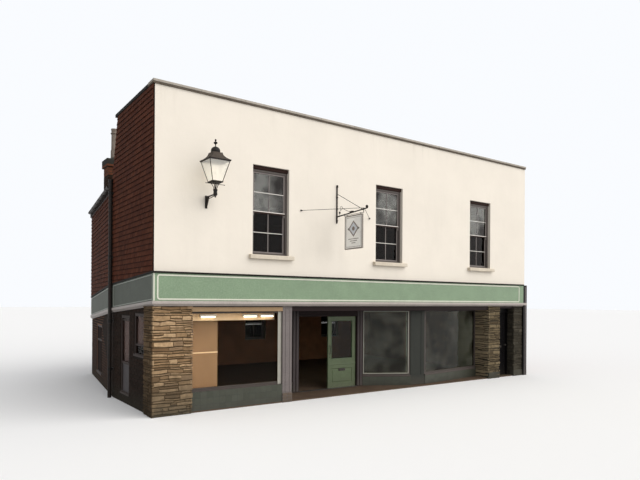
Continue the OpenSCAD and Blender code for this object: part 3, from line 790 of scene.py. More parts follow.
# Middle pier stones; their return goes pale, a painted light.
laid("brown_rubble", [(0.085, 0.062, 0.037), (0.165, 0.125, 0.073), (0.24, 0.185, 0.11)],
    (0.065, 0.05, 0.032), 0.9, 0.012, 22.0,
    painted_side_tone=(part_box("middle_pier")[0].x, 0.5, (0.46, 0.37, 0.24)))
laid("end_rubble", [(0.036, 0.032, 0.024), (0.06, 0.054, 0.041), (0.092, 0.08, 0.06)],
    (0.03, 0.026, 0.02), 0.9, 0.012, 22.0)
stone("pier_mortar", (0.11, 0.078, 0.046), (0.07, 0.05, 0.03), depth=0.006)
stone("dark_mortar", (0.075, 0.062, 0.044), (0.05, 0.042, 0.03), depth=0.006)
stone("plinth_cement", (0.085, 0.085, 0.07), (0.055, 0.055, 0.045), depth=0.003)
# Lane name boards: the sage paint faded to grey and darkened, partly a painted shade of the narrow lane.
paint("lane_board", (0.11, 0.121, 0.102), 0.6, 0.3, 0.8, sheen=0.1)
stone("chimney_cement", (0.05, 0.048, 0.042), (0.032, 0.03, 0.027), depth=0.004)
stone("coping_creasing", (0.17, 0.14, 0.11), (0.11, 0.09, 0.07), patch=3.0)
stone("sill_stone", (0.74, 0.665, 0.55), (0.62, 0.55, 0.45), patch=3.0, rain=0.2)
stone("lead_sheet", (0.022, 0.02, 0.018), (0.014, 0.013, 0.011), 0.7, depth=0.002)
stone("roof_felt", (0.12, 0.118, 0.112), (0.085, 0.082, 0.078), 0.9, depth=0.003)
stone("floor_screed", (0.12, 0.082, 0.056), (0.09, 0.06, 0.042), 0.7, depth=0.001, dirt=0.1, rain=0.0)
# Lane walls: dirty masonry and bricks, made near black as a painted shade of the narrow lane.
stone("lane_masonry", (0.025, 0.018, 0.014), (0.016, 0.012, 0.009), depth=0.005)
laid("lane_brick", [(0.018, 0.0105, 0.007), (0.032, 0.018, 0.012), (0.025, 0.016, 0.0115)],
    (0.013, 0.009, 0.007), 0.85, 0.006)
# Hung tiles along the lane, with a painted shadow under each course's foot.
laid("hung_tiles", [(0.078, 0.023, 0.0125), (0.1, 0.03, 0.0155), (0.125, 0.041, 0.021)],
    (0.048, 0.019, 0.012), 0.85, 0.002, 60.0, course_foot=beam_top - lane_fall * block_depth)
# Backing behind the tiles: near black, a painted shade in the gaps between them.
stone("tile_backing", (0.02, 0.011, 0.008), (0.014, 0.008, 0.006))
laid("roof_tiles", [(0.07, 0.032, 0.02), (0.105, 0.05, 0.031), (0.088, 0.053, 0.038)],
    (0.05, 0.03, 0.023), 0.85, 0.002, 60.0, moss=0.5)
laid("red_brick", [(0.21, 0.085, 0.05), (0.3, 0.125, 0.075), (0.36, 0.17, 0.1)],
    (0.14, 0.07, 0.05), 0.85, 0.003)
laid("chimney_brick", [(0.15, 0.053, 0.029), (0.225, 0.083, 0.044)], (0.08, 0.036, 0.022), 0.85, 0.003)
laid("sooty_brick", [(0.024, 0.012, 0.008), (0.038, 0.02, 0.012)], (0.015, 0.009, 0.006), 0.9, 0.003)
stone("inside_wall", (0.27, 0.125, 0.07), (0.19, 0.087, 0.049), depth=0.001, dirt=0.1, rain=0.0)
brick_finish("party_brick", (0.33, 0.155, 0.1), (0.22, 0.1, 0.065), (0.36, 0.32, 0.265))
stone("brick_joint", (0.33, 0.29, 0.24), (0.24, 0.21, 0.17), depth=0.004)
stone("clay_pot", (0.28, 0.24, 0.205), (0.19, 0.155, 0.13), patch=8.0)
paint("sage_paint", (0.182, 0.266, 0.165), 0.45, 0.2, 0.25, (0.4, 0.45, 0.36))
paint("cream_line", (0.62, 0.63, 0.53), 0.4, 0.1, 0.2)
paint("lilac_paint", (0.14, 0.12, 0.115), 0.5, 0.4, 0.5)
paint("lilac_light_paint", (0.15, 0.129, 0.125), 0.5, 0.3, 0.3)
paint("post_paint", (0.03, 0.032, 0.028), 0.55, 0.3, 0.5, sheen=0.1)
paint("dark_paint", (0.016, 0.009, 0.009), 0.55, 0.2, 0.3, sheen=0.1)
paint("black_paint", (0.0042, 0.0036, 0.004), 0.4, 0.15, 0.15, (0.02, 0.018, 0.016), sheen=0.08)
paint("green_paint", (0.08, 0.106, 0.054), 0.4, 0.3, 0.35, (0.14, 0.17, 0.11))
paint("grey_joinery", (0.042, 0.03, 0.026), 0.55, 0.3, 0.5, sheen=0.1)
paint("lane_panel", (0.085, 0.076, 0.077), 0.55, 0.3, 0.5, sheen=0.1)
paint("mauve_joinery", (0.078, 0.065, 0.059), 0.5, 0.3, 0.2)
# Pale paint of the sash bars across and of the meeting rails' tops: a painted highlight on the mauve
# joinery.
paint("bar_paint", (0.8, 0.76, 0.7), 0.4, 0.1, 0.1)
# Near-black brown: a dark head lining, darkened further as painted shade under the window heads, and a
# painted shadow on the meeting rails' faces.
paint("brown_lining", (0.026, 0.012, 0.009), 0.6, 0.2, 0.1, sheen=0.1)
paint("white_joinery", (0.62, 0.6, 0.55), 0.45, 0.3, 0.3)
paint("backing_panel", (0.25, 0.15, 0.075), 0.6, 0.1, 0.0)
paint("pale_board", (0.74, 0.54, 0.33), 0.6, 0.1, 0.0)
iron("cast_iron", (0.0065, 0.006, 0.0055), 0.5)
iron("lantern_roof_sheet", (0.045, 0.036, 0.028), 0.6)
iron("door_iron", (0.03, 0.028, 0.025), 0.35)
paint("sign_paint", (0.96, 0.94, 0.9), 0.5, 0.1, 0.0)
paint("sign_frame", (0.24, 0.215, 0.19), 0.45, 0.3, 0.2)
paint("sign_dark", (0.23, 0.195, 0.175), 0.45, 0.2, 0.2)
tiled_finish()
board_finish()
glass("window_glass", (0.8, 0.84, 0.82))
# Display window glass, with a painted reflection of the sky in patches.
glass("display_window_glass", (0.76, 0.79, 0.7), silver=0.022, dark=(0.36, 0.35, 0.29))
glass("street_window_glass", (0.88, 0.86, 0.83), index=1.1)
glass("lane_window_glass", (0.62, 0.55, 0.52), 0.06, 1.04)
# Near-black glass: a painted shade that makes the rear windows read as dark, unlit openings.
glass("rear_window_glass", (0.0005, 0.0005, 0.0004), index=1.15)
# Lantern panes: pale and partly clear, with a faint painted glow.
glass("lantern_pane", (0.97, 0.955, 0.91), 0.35, clear=0.86, painted_glow=0.05)
glow_finish()


# Joined meshes of many small pieces

class Field:
    """Collects the corners, faces and shades of many small pieces that form one mesh."""

    def __init__(self, seed):
        self.corners, self.faces, self.shades = [], [], []
        self.rng = np.random.default_rng(seed)

    def add(self, corners, faces, shade):
        first = len(self.corners)
        self.corners += [tuple(c) for c in corners]
        self.faces += [tuple(first + i for i in face) for face in faces]
        self.shades += [shade] * len(corners)

    def copy(self, pattern, place, shade):
        """Adds a copy of a modelled piece."""
        self.add([place @ v.co for v in pattern.data.vertices], [tuple(p.vertices)
            for p in pattern.data.polygons], shade)

    def piece(self, name):
        mesh = bpy.data.meshes.new(name)
        mesh.from_pydata(self.corners, [], self.faces)
        shade = mesh.attributes.new("shade", "FLOAT", "POINT")
        shade.data.foreach_set("value", self.shades)
        made = bpy.data.objects.new(name, mesh)
        bpy.context.scene.collection.objects.link(made)
        return made


class Face:
    """A flat face that pieces are laid on: its start, the way along it, up it and out of it.

    Its beds and joints wander by up to wavy metres."""

    def __init__(self, start, along, length, up=Z, wavy=0.0):
        self.start, self.along, self.up = Vector(start), Vector(along).normalized(), Vector(up)
        self.length = length
        self.out = self.along.cross(self.up).normalized()
        self.wavy = wavy

    def at(self, s, t, out=0.0):
        spot = self.start + self.along * s + self.up * t + self.out * out
        if self.wavy:
            spot += self.up * self.wavy * noise.noise(spot * 4.5)
            spot += self.along * self.wavy * noise.noise(spot * 6.0 + X * 9)
            spot.z = max(spot.z, 0.0)
        return spot


def add_block(field, face, low, high, proud, joint, ease, fine, behind, uneven):
    """Adds one brick or stone as a grid whose border falls back into the joint."""
    rng = field.rng
    s0, s1 = low[0] + joint / 2, high[0] - joint / 2
    t0, t1 = low[1] + joint / 2, high[1] - joint / 2
    if s1 - s0 < 0.015 or t1 - t0 < 0.015:
        return
    if fine:
        steps, falls = (0, 0.3, 1), (1, 0.3, 0, 0, 0, 0.3, 1)
    else:
        steps, falls = (0, 1), (1, 0, 0, 1)

    def spread(a, b, width):
        width = min(width, (b - a) / 4)
        inner = [a + width * k for k in steps]
        middle = [(a + b) / 2] if fine else []
        return inner + middle + [b - width * k for k in reversed(steps)]

    rows, columns = spread(t0, t1, ease), spread(s0, s1, ease * (0.45 if fine else 1.0))
    count = len(rows)
    lean = rng.uniform(-uneven, uneven, 2)
    corners = []
    for i, t in enumerate(rows):
        for j, s in enumerate(columns):
            fall = max(falls[i], falls[j])
            if fall == 1:
                corners.append(face.at(s, t, -behind))
                continue
            tilt = (lean[0] * (2 * i / (count - 1) - 1) + lean[1] * (2 * j / (count - 1) - 1))
            rough = rng.uniform(-uneven, uneven) * 0.6 if fine else 0.0
            nudge = rng.uniform(-uneven, uneven, 2) * 0.5 if fine else (0, 0)
            corners.append(face.at(s + nudge[0], t + nudge[1], proud * (1 - fall) + tilt + rough))
    faces = []
    for i in range(count - 1):
        for j in range(count - 1):
            a = i * count + j
            faces.append((a, a + 1, a + count + 1, a + count))
    last = count - 1
    rim = ([j for j in range(count)] + [i * count + last for i in range(1, count)] + [last * count + j
        for j in range(last - 1, -1, -1)] + [i * count for i in range(last - 1, 0, -1)])
    faces.append(tuple(reversed(rim)))
    field.add(corners, faces, rng.uniform(0, 1))


def add_courses(field, faces, low, high, course, lengths, proud, joint=0.008, ease=0.016, fine=True,
        behind=0.03, uneven=0.002, varied=0.3, bond=False, holes=()):
    """Lays courses on a chain of faces that turn corners.

    At each corner the courses run through by turns on one face and on the other."""
    rng = field.rng
    t = low
    number = 0
    while t < high - 0.02:
        tall = course * rng.uniform(1 - varied, 1 + varied)
        if high - t - tall < course * 0.5:
            tall = high - t
        for index, face in enumerate(faces):
            through = (number + index) % 2 == 0
            start = 0.0 if index == 0 else (-proud if through else proud * 0.9)
            ends = (number + index + 1) % 2 == 0
            end = face.length if index == len(faces) - 1 else (face.length - proud * 0.9
                if ends else face.length + proud)
            for a, b in clear_runs(start, end, t, t + tall, holes):
                fill_run(field, face, a, b, t, t + tall, lengths, bond, number, (proud, joint, ease,
                    fine, behind, uneven))
        t += tall
        number += 1


def clear_runs(start, end, low, high, holes):
    """The parts of a course that no window opening cuts."""
    runs = [(start, end)]
    for s0, s1, t0, t1 in holes:
        if high <= t0 + 0.01 or low >= t1 - 0.01:
            continue
        cut = []
        for a, b in runs:
            if s0 > a:
                cut.append((a, min(b, s0)))
            if s1 < b:
                cut.append((max(a, s1), b))
        runs = [r for r in cut if r[1] - r[0] > 0.02]
    return runs


def fill_run(field, face, start, end, low, high, lengths, bond, number, style):
    """Fills one run of a course with blocks."""
    rng = field.rng
    if bond:
        step = lengths[0]
        first = math.floor((start - number % 2 * step / 2) / step) * step + number % 2 * step / 2
        edges = [first + k * step for k in range(int((end - first) / step) + 2)]
        edges = [start] + [e for e in edges if start + 0.03 < e < end - 0.03] + [end]
    else:
        edges = [start]
        while edges[-1] < end:
            edges.append(edges[-1] + rng.uniform(*lengths))
        if len(edges) > 2 and end - edges[-2] < lengths[0] * 0.6:
            edges.pop(-2)
        edges[-1] = end
    for a, b in zip(edges[:-1], edges[1:]):
        levels = [low, high]
        if not bond and high - low > 0.06 and rng.random() < 0.4:
            levels.insert(1, low + (high - low) * rng.uniform(0.35, 0.65))
        narrow = 0.0 if bond else style[1] * 0.36
        for z0, z1 in zip(levels[:-1], levels[1:]):
            add_block(field, face, (a - narrow, z0), (b + narrow, z1), style[0] * rng.uniform(0.5, 1.0),
                *style[1:])


def add_tiles(field, face, low, high, left, right, gauge, lift, foot=lambda s: 0.0):
    """Lays lapped tiles up a face, cut to the lines left and right and to the line foot."""
    rng = field.rng
    row = 0
    t = low
    while t < high - 0.01:
        top = min(t + gauge + 0.02, high + 0.01)
        s = min(left(t), left(top)) - (row % 2) * TILE_W / 2 - rng.uniform(0, 0.004)
        limit = max(right(t), right(top))
        while s < limit:
            end = s + TILE_W - 0.002
            ends = [(max(s, left(t)), min(end, right(t))), (max(s, left(top)), min(end, right(top)))]
            wide = max(b - a for a, b in ends)
            if wide > 0.02 and top > foot(s) + 0.012:
                (a0, b0), (a1, b1) = ((a, max(a, b)) if a <= right(h) else (right(h), right(h))
                    for (a, b), h in zip(ends, (t, top)))
                out = lift + rng.uniform(-0.003, 0.002)
                skew = rng.uniform(-0.0015, 0.0015)
                slip = rng.uniform(-0.003, 0.003)
                heights = ((t + slip, a0, b0, out - TILE_T, out), (top, a1, b1, -0.006, 0.004))
                corners = [face.at(s2, max(h, foot(s2)), o) for h, a, b, under, over in heights for s2,
                    o in ((a, under), (b, under + skew), (b, over + skew), (a, over))]
                field.add(corners, [(0, 1, 2, 3), (3, 2, 6, 7), (4, 7, 6, 5), (0, 4, 5, 1),
                    (1, 5, 6, 2), (0, 3, 7, 4)], rng.uniform(0, 1))
            s += TILE_W
        row += 1
        t += gauge


# The CAD pieces whose shapes stay, with their finishes

def finish_cad(finish, *names):
    for name in names:
        data = frame["nodes"][name].data
        data.materials.clear()
        data.materials.append(finishes[finish])
        for polygon in data.polygons:
            polygon.material_index = 0


def second_finish(piece, finish, chosen):
    """Gives the faces whose middle is chosen a finish of their own."""
    piece.data.materials.append(finishes[finish])
    for polygon in piece.data.polygons:
        if chosen(polygon.center):
            polygon.material_index = len(piece.data.materials) - 1


def indoors(spot):
    return 0.2 < spot.x < front_len - 0.2 and 0.2 < spot.y < rear_y - 0.2


finish_cad("cream_render", "front_upper_wall")
finish_cad("dark_paint", "shopfront_beam")
finish_cad("pier_mortar", "corner_pier")
finish_cad("dark_mortar", "middle_pier", "end_pier", "chimney_stack")
finish_cad("black_paint", "end_pilaster", "black_door_frame")
finish_cad("dark_paint", "shopfront_soffit", "entrance_frame")
finish_cad("lilac_paint", "shop_pilaster")
finish_cad("post_paint", "shop_post")
finish_cad("lane_masonry", "side_lower_wall", "rear_lane_lower_wall")
finish_cad("tile_backing", "side_upper_wall", "rear_lane_upper_wall", "rear_roof_front",
    "rear_roof_back", "rear_roof_hip")
finish_cad("brick_joint", "rear_wall", "block_rear_wall")
finish_cad("party_brick", "party_wall")
finish_cad("floor_screed", "ground_floor")
finish_cad("floor_boards", "first_floor")
finish_cad("roof_felt", "block_roof")
finish_cad("lead_sheet", "parapet_capping")
finish_cad("cast_iron", "eaves_gutter", "lane_downpipe")
finish_cad("sage_paint", "front_fascia")
finish_cad("lane_board", "side_fascia", "rear_side_fascia")
finish_cad("stallriser_tiles", "stallrisers")
finish_cad("window_glass", "display_glass", "shop_door_glass", "sash_glass")
finish_cad("lane_window_glass", "side_window_glass")
finish_cad("rear_window_glass", "rear_window_glass")
finish_cad("clay_pot", "chimney_pot")
for wall_name in ("rear_wall", "party_wall", "front_upper_wall", "side_lower_wall", "side_upper_wall",
        "rear_lane_lower_wall", "rear_lane_upper_wall"):
    second_finish(frame["nodes"][wall_name], "inside_wall", indoors)


# Rubble stones of the piers

def lay_piers():
    """Rough courses round each pier; the faces after the street face turn into its recess."""
    for name, seed, turns, finish, slot in (
            ("corner_pier", 11, 0.1, "tan_rubble", "tan_rubble"),
            ("middle_pier", 12, 0.24, "brown_rubble", "brown_rubble"),
            ("end_pier", 13, 0.0, "end_rubble", "brown_rubble")):
        low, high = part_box(name)
        back = 0.2 if name == "end_pier" else high.y
        right = end_strip_low.x if name == "end_pier" else high.x
        stones = Field(seed)
        chain = [Face((low.x, back, 0), -Y, back - low.y, wavy=0.02), Face((low.x, low.y, 0), X,
            right - low.x, wavy=0.02)]
        if turns:
            chain.append(Face((right, low.y, 0), Y, turns, wavy=0.02))
        add_courses(stones, chain, 0.0, cornice_foot, 0.085, (0.13, 0.44), 0.024, 0.014, 0.02,
            varied=0.55, uneven=0.009)
        dress(stones.piece(name + "_stones"), finish, slot)
        if name != "corner_pier":
            plinth = batten(name + "_plinth", (low.x - 0.022, low.y - 0.026, 0.0),
                (right + (0.02 if turns else 0), low.y + 0.12, 0.2), 0.012)
            dress(plinth, "plinth_cement", "brown_rubble")


# Tile hanging along the lane

def lay_hung_tiles():
    """Tiles on the two walls of the lane; the street block's far edge leans."""
    lean = rear_lean / (coping_low.z - eaves_z)
    hang = Field(21)
    add_tiles(hang, Face((tile_face_x, block_depth, 0), -Y, block_depth), band_top(block_depth),
        coping_low.z - 0.005, lambda t: max(t - eaves_z, 0) * lean, lambda t: block_depth, TILE_GAUGE,
        0.022, lambda s: band_top(block_depth - s))
    dress(hang.piece("side_wall_tiles"), "hung_tiles")
    far_end = Vector((rear_end_x, rear_y, 0)) + rear_lane_way.cross(Z) * abs(tile_face_x)
    hang = Field(22)
    add_tiles(hang, Face(far_end, rear_lane_way, rear_lane_len), band_top(block_depth) - 3 * TILE_GAUGE,
        eaves_z - 0.09, lambda t: 0.0, lambda t: rear_lane_len - 0.05, TILE_GAUGE, 0.022,
        lambda s: band_top(rear_y - s * math.cos(rear_turn)))
    dress(hang.piece("rear_lane_wall_tiles"), "hung_tiles")


def band_top(y):
    """Where the tile hanging ends above the falling name boards of the lane."""
    return beam_top - lane_fall * max(y, 0)


# Tiles of the rear roof, with its ridge and hips

def tile_slope(name, seed, start, along, length, up, high, left, right):
    """Lays one slope of the rear roof between the lines left and right."""
    field = Field(seed)
    add_tiles(field, Face(start, along, length, up), 0.03, high, left, right, ROOF_GAUGE, 0.016)
    dress(field.piece(name), "roof_tiles")


def eave_x(y):
    """Where the lane eave runs, which is askew to the street."""
    return (y - block_depth) * math.tan(rear_turn) - lane_overhang / math.cos(rear_turn)


def hip_x(y, inward):
    """Where a long slope meets the hip slope, inward from the eave."""
    return eave_x(y) + inward / math.cos(rear_turn)


def lay_roof_tiles():
    slope, climb = math.cos(roof_pitch), math.sin(roof_pitch)
    high = (roof_back_y - ridge_y) / slope - 0.02
    tile_slope("rear_roof_front_tiles", 31, (0, block_depth, eaves_z), X, front_len, (0, slope, climb),
        high, lambda t: hip_x(block_depth + t * slope, t * slope) + 0.01, lambda t: front_len - 0.01)
    tile_slope("rear_roof_back_tiles", 32, (front_len, roof_back_y, eaves_z), -X, front_len,
        (0, -slope, climb), high, lambda t: 0.01, lambda t: front_len - hip_x(roof_back_y - t * slope,
        t * slope) - 0.01)
    inward = Vector((math.cos(rear_turn), -math.sin(rear_turn), 0))
    length = (roof_back_y - block_depth) / math.cos(rear_turn)
    back_pull = (1 - math.sin(rear_turn)) / math.cos(rear_turn)
    front_pull = (1 + math.sin(rear_turn)) / math.cos(rear_turn)
    tile_slope("rear_roof_hip_tiles", 33, (eave_x(roof_back_y), roof_back_y, eaves_z), rear_lane_way,
        length, inward * slope + Z * climb, length / (back_pull + front_pull) / slope - 0.05,
        lambda t: t * slope * back_pull + 0.01, lambda t: length - t * slope * front_pull - 0.01)
    peak = Vector((hip_x(ridge_y, ridge_y - block_depth), ridge_y, ridge_z))
    ridge = ridge_tiles(peak, Vector((front_len, ridge_y, ridge_z)))
    for y in (block_depth, roof_back_y):
        corner = Vector((eave_x(y), y, eaves_z))
        ridge += ridge_tiles(corner + (peak - corner) * 0.05, peak)
    dress(join(ridge, "ridge_and_hip_tiles"), "roof_tiles")


def ridge_tiles(start, end):
    """Half-round tiles in a row along a ridge or hip."""
    run = end - start
    count = max(1, round(run.length / 0.45))
    step = run / count
    made = []
    for number in range(count):
        foot = start + step * number - Z * 0.035
        tile = drawn_out("ridge_tile", foot, 0.115, step.normalized(), 16, push(step * 0.985))
        shade = tile.data.attributes.new("shade", "FLOAT", "POINT")
        shade.data.foreach_set("value", [draw.random()] * len(tile.data.vertices))
        made.append(tile)
    return made


# Brickwork of the walls behind and of the chimney

# Windows of the lane: distance from the corner, foot, width and height
LANE_WINDOWS = ((0.56, 1.18, 0.74, 0.97), (1.64, 0.2, 0.7, 1.88))
REAR_LANE_WINDOW = (2.3, 0.25, 1.2, 1.45)

# Windows of the rear wall: left edges, width, and each row's foot and height
REAR_LEFTS = (2.6, 6.2, 9.8)
REAR_W = 0.9
REAR_ROWS = ((0.95, 1.2), (3.6, 1.5))

SOOT_TOP = 6.12


def lay_plain(name, seed, finish, slot, runs):
    """Brickwork in plain bond; runs lists each face with its foot, its head and its openings."""
    field = Field(seed)
    for face, foot, head, holes in runs:
        lay_bond(field, [face], foot, head, 0.004, holes)
    dress(field.piece(name), finish, slot)


def lay_bond(field, faces, foot, head, behind, holes=()):
    add_courses(field, faces, foot, head, 0.075, (0.225,), 0.006, 0.009, 0.003, fine=False,
        behind=behind, uneven=0.0006, varied=0.0, bond=True, holes=holes)


def lane_hole(length, window):
    """A window's opening, measured from the far end of its wall."""
    at, low, width, tall = window
    return length - at - width, length - at, low, low + tall


def lay_bricks():
    holes = [(front_len - x - REAR_W, front_len - x, z, z + h) for x in REAR_LEFTS for z, h in REAR_ROWS]
    lay_plain("rear_wall_bricks", 41, "red_brick", "red_brick",
        [(Face((front_len, rear_y, 0), -X, front_len - rear_end_x), 0.0, eaves_z - 0.08, holes)])
    near = Face((0, block_depth, 0), -Y, block_depth - corner_pier_high.y)
    near_holes = [lane_hole(block_depth, window) for window in LANE_WINDOWS]
    far = Face((rear_end_x, rear_y, 0), rear_lane_way, rear_lane_len)
    far_holes = [lane_hole(rear_lane_len, REAR_LANE_WINDOW)]
    lay_plain("lane_wall_bricks", 44, "lane_brick", "lane_masonry",
        [(near, 0.0, cornice_foot, near_holes), (far, 0.0, cornice_foot - 0.1, far_holes)])
    rise = Vector((0, -rear_lean, coping_low.z - eaves_z))
    face = Face((front_len - wall_t, block_depth, eaves_z), -X, front_len - 2 * wall_t,
        rise.normalized())
    lay_plain("block_rear_wall_bricks", 42, "red_brick", "red_brick", [(face, 0.05, rise.length, ())])


def lay_chimney():
    """The stack, sooty and set in above the roof, and oversailing under its cap."""
    low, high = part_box("chimney_stack")
    x, y = (low.x + high.x) / 2, (low.y + high.y) / 2
    wide = (high.x - low.x) / 2
    cap_foot = high.z - 0.23
    stack, soot = Field(43), Field(45)
    for field, half, foot, head in ((soot, wide - 0.045, eaves_z - 0.05, SOOT_TOP),
            (stack, wide - 0.045, SOOT_TOP, cap_foot), (stack, wide, cap_foot, cap_foot + 0.07)):
        corners = [(x - half, y + half, 0), (x - half, y - half, 0), (x + half, y - half, 0),
            (x + half, y + half, 0)]
        sides = [Face(c, way, 2 * half) for c, way in zip(corners, (-Y, X, Y, -X))]
        lay_bond(field, sides, foot, head, 0.012)
    dress(stack.piece("chimney_bricks"), "chimney_brick", "red_brick")
    dress(soot.piece("chimney_sooty_bricks"), "sooty_brick", "red_brick")
    band = batten("chimney_cap_band", (low.x - 0.004, low.y - 0.004, cap_foot + 0.072), (high.x + 0.004,
        high.y + 0.004, high.z + 0.004), 0.012)
    dress(band, "chimney_cement", "red_brick")


lay_piers()
lay_hung_tiles()
lay_roof_tiles()
lay_bricks()
lay_chimney()


# Coping, cappings and the lead work of the flat roof

def lay_coping():
    low, high = coping_low, coping_high
    creasing = batten("coping_creasing", (low.x, low.y + 0.015, low.z), (high.x, high.y, low.z + 0.035))
    dress(creasing, "coping_creasing", "coping_stone")
    count = 12
    step = (high.x - low.x) / count
    stone_top = block("coping_stone", (0.003, low.y, low.z + 0.035), (step - 0.003, high.y, high.z))
    round_edges(stone_top, X, lambda c: c.z > high.z - 0.01, 0.014)
    soften(stone_top, 0.003, 1)
    places = [Matrix.Translation((low.x + n * step, 0, draw.uniform(-0.002, 0.0))) for n in range(count)]
    stones = Field(51)
    for place in places:
        stones.copy(stone_top, place, draw.random())
    bpy.data.objects.remove(stone_top)
    dress(smooth(stones.piece("coping_stones")), "coping_laid", "coping_stone", "front_coping")


def lay_lead():
    """Lead rolls across the parapet and over the joints of the flat roof."""
    low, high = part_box("parapet_capping")
    z = high.z - 0.012
    runs = []
    for y in (0.9, 1.6, 2.3):
        runs += [((low.x, y, z), (0.3, y, z)), ((front_len - 0.3, y, z), (high.x, y, z))]
    runs += [((x, 2.3, z), (x, high.y, z)) for x in np.arange(1.0, 12.3, 1.02)]
    rolls = [rod("lead_roll", start, end, 0.022) for start, end in runs]
    dress(join(rolls, "parapet_lead_rolls"), "lead_sheet", "roof_felt")
    low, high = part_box("block_roof")
    seams = [batten("felt_seam", (x, low.y, high.z - 0.004), (x + 0.07, high.y, high.z + 0.008), 0.003)
        for x in np.arange(1.2, 12.4, 0.95)]
    seams.append(ring("felt_upstand", (low.x, low.y, high.z - 0.01), (high.x, high.y, high.z + 0.15),
        0.02, "Z", 0.006))
    dress(join(seams, "flat_roof_seams"), "roof_felt")


# Name boards with their raised lines, cornice and flashing

LINE_W = 0.032
LANE_LINE_W = 0.022
LINE_PROUD = 0.008
REAR_LINE_START = 4.89
REAR_LINE_LEN = 4.8
REAR_RUN_LEN = 4.85


def line_frame(name, start, along, length, low, high, width=LINE_W, fall=0.0, corner=0.06):
    """A raised line with rounded corners round the face of a name board."""
    piece = block(name, (0, -LINE_PROUD, low), (length, 0.002, high))
    shape(piece, "EDGE", running(Y), round_off(corner, 5))
    shape(piece, "FACE", facing(Y, -Y), inset(width), bridge)
    soften(piece, 0.002, 1)
    return moved(piece, place_along(start, along, fall))


def place_along(start, along, fall=0.0):
    """A matrix that turns a piece made along +X, with its face along -Y, on to a wall.

    With a fall the piece is sheared, so that it drops by fall for each metre along +Y."""
    along = Vector(along).normalized()
    turn = Matrix((along - Z * along.y * fall, Z.cross(along), Z)).transposed().to_4x4()
    return Matrix.Translation(Vector(start)) @ turn


def bent_strip(name, low, high, high_x, high_y):
    """A strip along the street whose corner block, low to high, also turns into the lane."""
    piece = block(name, low, high)
    shape(piece, "FACE", facing(X), push(X * (high_x - high[0])))
    shape(piece, "FACE", lambda f: f.normal.y > 0.9 and f.calc_center_median().x < high[0],
        push((0, high_y - high[1], -lane_fall * (high_y - high[1]))))
    return piece


def outer_edges(low, high, upper):
    """True for the long outer edges of a bent strip, at its top or at its foot."""
    middle = (low[2] + high[2]) / 2

    def chosen(edge):
        a, b = edge.verts[0].co, edge.verts[1].co
        at = (a + b) / 2
        level = abs(a.z - b.z) < 0.5 * (a - b).length
        on_x = abs(a.x - low[0]) < 0.001 and abs(b.x - low[0]) < 0.001
        on_y = abs(a.y - low[1]) < 0.001 and abs(b.y - low[1]) < 0.001
        return level and (on_x or on_y) and (at.z + lane_fall * max(at.y, 0) > middle) == upper
    return chosen


def lay_boards():
    low, high = fascia_low, fascia_high
    lane_end = block_depth - 0.13
    line_low, line_high = low.z + 0.02, high.z - 0.025
    front = line_frame("front_board_line", (low.x + 0.07, low.y, 0), X, 12.27 - low.x, line_low,
        line_high)
    dress(front, "cream_line", "cream_joinery")
    start = Vector((low.x, lane_end - 0.03, 0))
    rear_start = Vector((0, block_depth, 0)) - rear_lane_way * REAR_LINE_START
    rear_face = rear_start + rear_lane_way.cross(Z) * abs(low.x)
    for name, start, way, run, y in (("lane_board_line", start, -Y, start.y + 0.05, start.y),
            ("rear_board_line", rear_face, rear_lane_way, REAR_LINE_LEN, rear_start.y)):
        fallen = lane_fall * y
        line = line_frame(name, start, way, run, line_low - fallen, line_high - fallen, LANE_LINE_W,
            lane_fall)
        dress(line, "lane_line", "cream_joinery")
    bead = batten("board_corner_bead", (low.x - 0.006, low.y - 0.006, low.z), (low.x + 0.026,
        low.y + 0.026, high.z), 0.008)
    dress(bead, "cream_line", "cream_joinery")
    foot, head = (low.x - 0.03, low.y - 0.03, cornice_foot), (0.0, 0.0, low.z)
    cornice = bent_strip("cornice_moulding", foot, head, end_strip_low.x, lane_end)
    shape(cornice, "EDGE", outer_edges(foot, head, False), round_off(0.05, 5, 0.25))
    shape(cornice, "EDGE", outer_edges(foot, head, True), round_off(0.012, 2))
    rear_run = block("cornice", (0.0, foot[0], foot[2] - fallen), (REAR_RUN_LEN, 0.0, low.z - fallen))
    shape(rear_run, "EDGE", running(X, lambda c: c.y < -0.05 and c.z < low.z - fallen - 0.05),
        round_off(0.05, 5, 0.25))
    place = place_along(rear_start, rear_lane_way, lane_fall)
    both = join([cornice, moved(rear_run, place)], "cornice_moulding")
    dress(smooth(both, 30), "cornice_paint", "lilac_paint", "fascia_cornice")
    near, far = end_strip_low, end_strip_high
    end = batten("end_strip_moulding", (near.x, near.y - 0.03, cornice_foot + 0.03), (far.x - 0.03,
        near.y + 0.005, low.z), 0.006)
    dress(end, "cornice_paint", "lilac_paint")
    strip = batten("end_strip_line", (12.665, near.y - 0.004, 0.0), (12.7, near.y + 0.01,
        beam_top - 0.05), 0.003)
    dress(strip, "lilac_light_paint", "lilac_paint")
    foot, head = (low.x - 0.025, low.y - 0.03, high.z), (0.0, 0.0, beam_top + 0.03)
    lead = bent_strip("board_flashing", foot, head, near.x, lane_end)
    shape(lead, "EDGE", outer_edges(foot, head, True), round_off(0.02, 3))
    rear_lead = block("lead", (0.0, foot[0], foot[2] - fallen), (REAR_RUN_LEN, 0.0, head[2] - fallen))
    dress(join([lead, moved(rear_lead, place)], "board_flashing"), "lead_sheet", "roof_felt")


# Sash windows of the upper storey

HEAD_H = 0.085
BOX_W = 0.055
BOX_FRONT = 0.09
STILE_W = 0.045
BAR_W = 0.026
THIN_BAR = 0.015
UPPER_Y = (0.112, 0.142)
LOWER_Y = (0.146, 0.176)


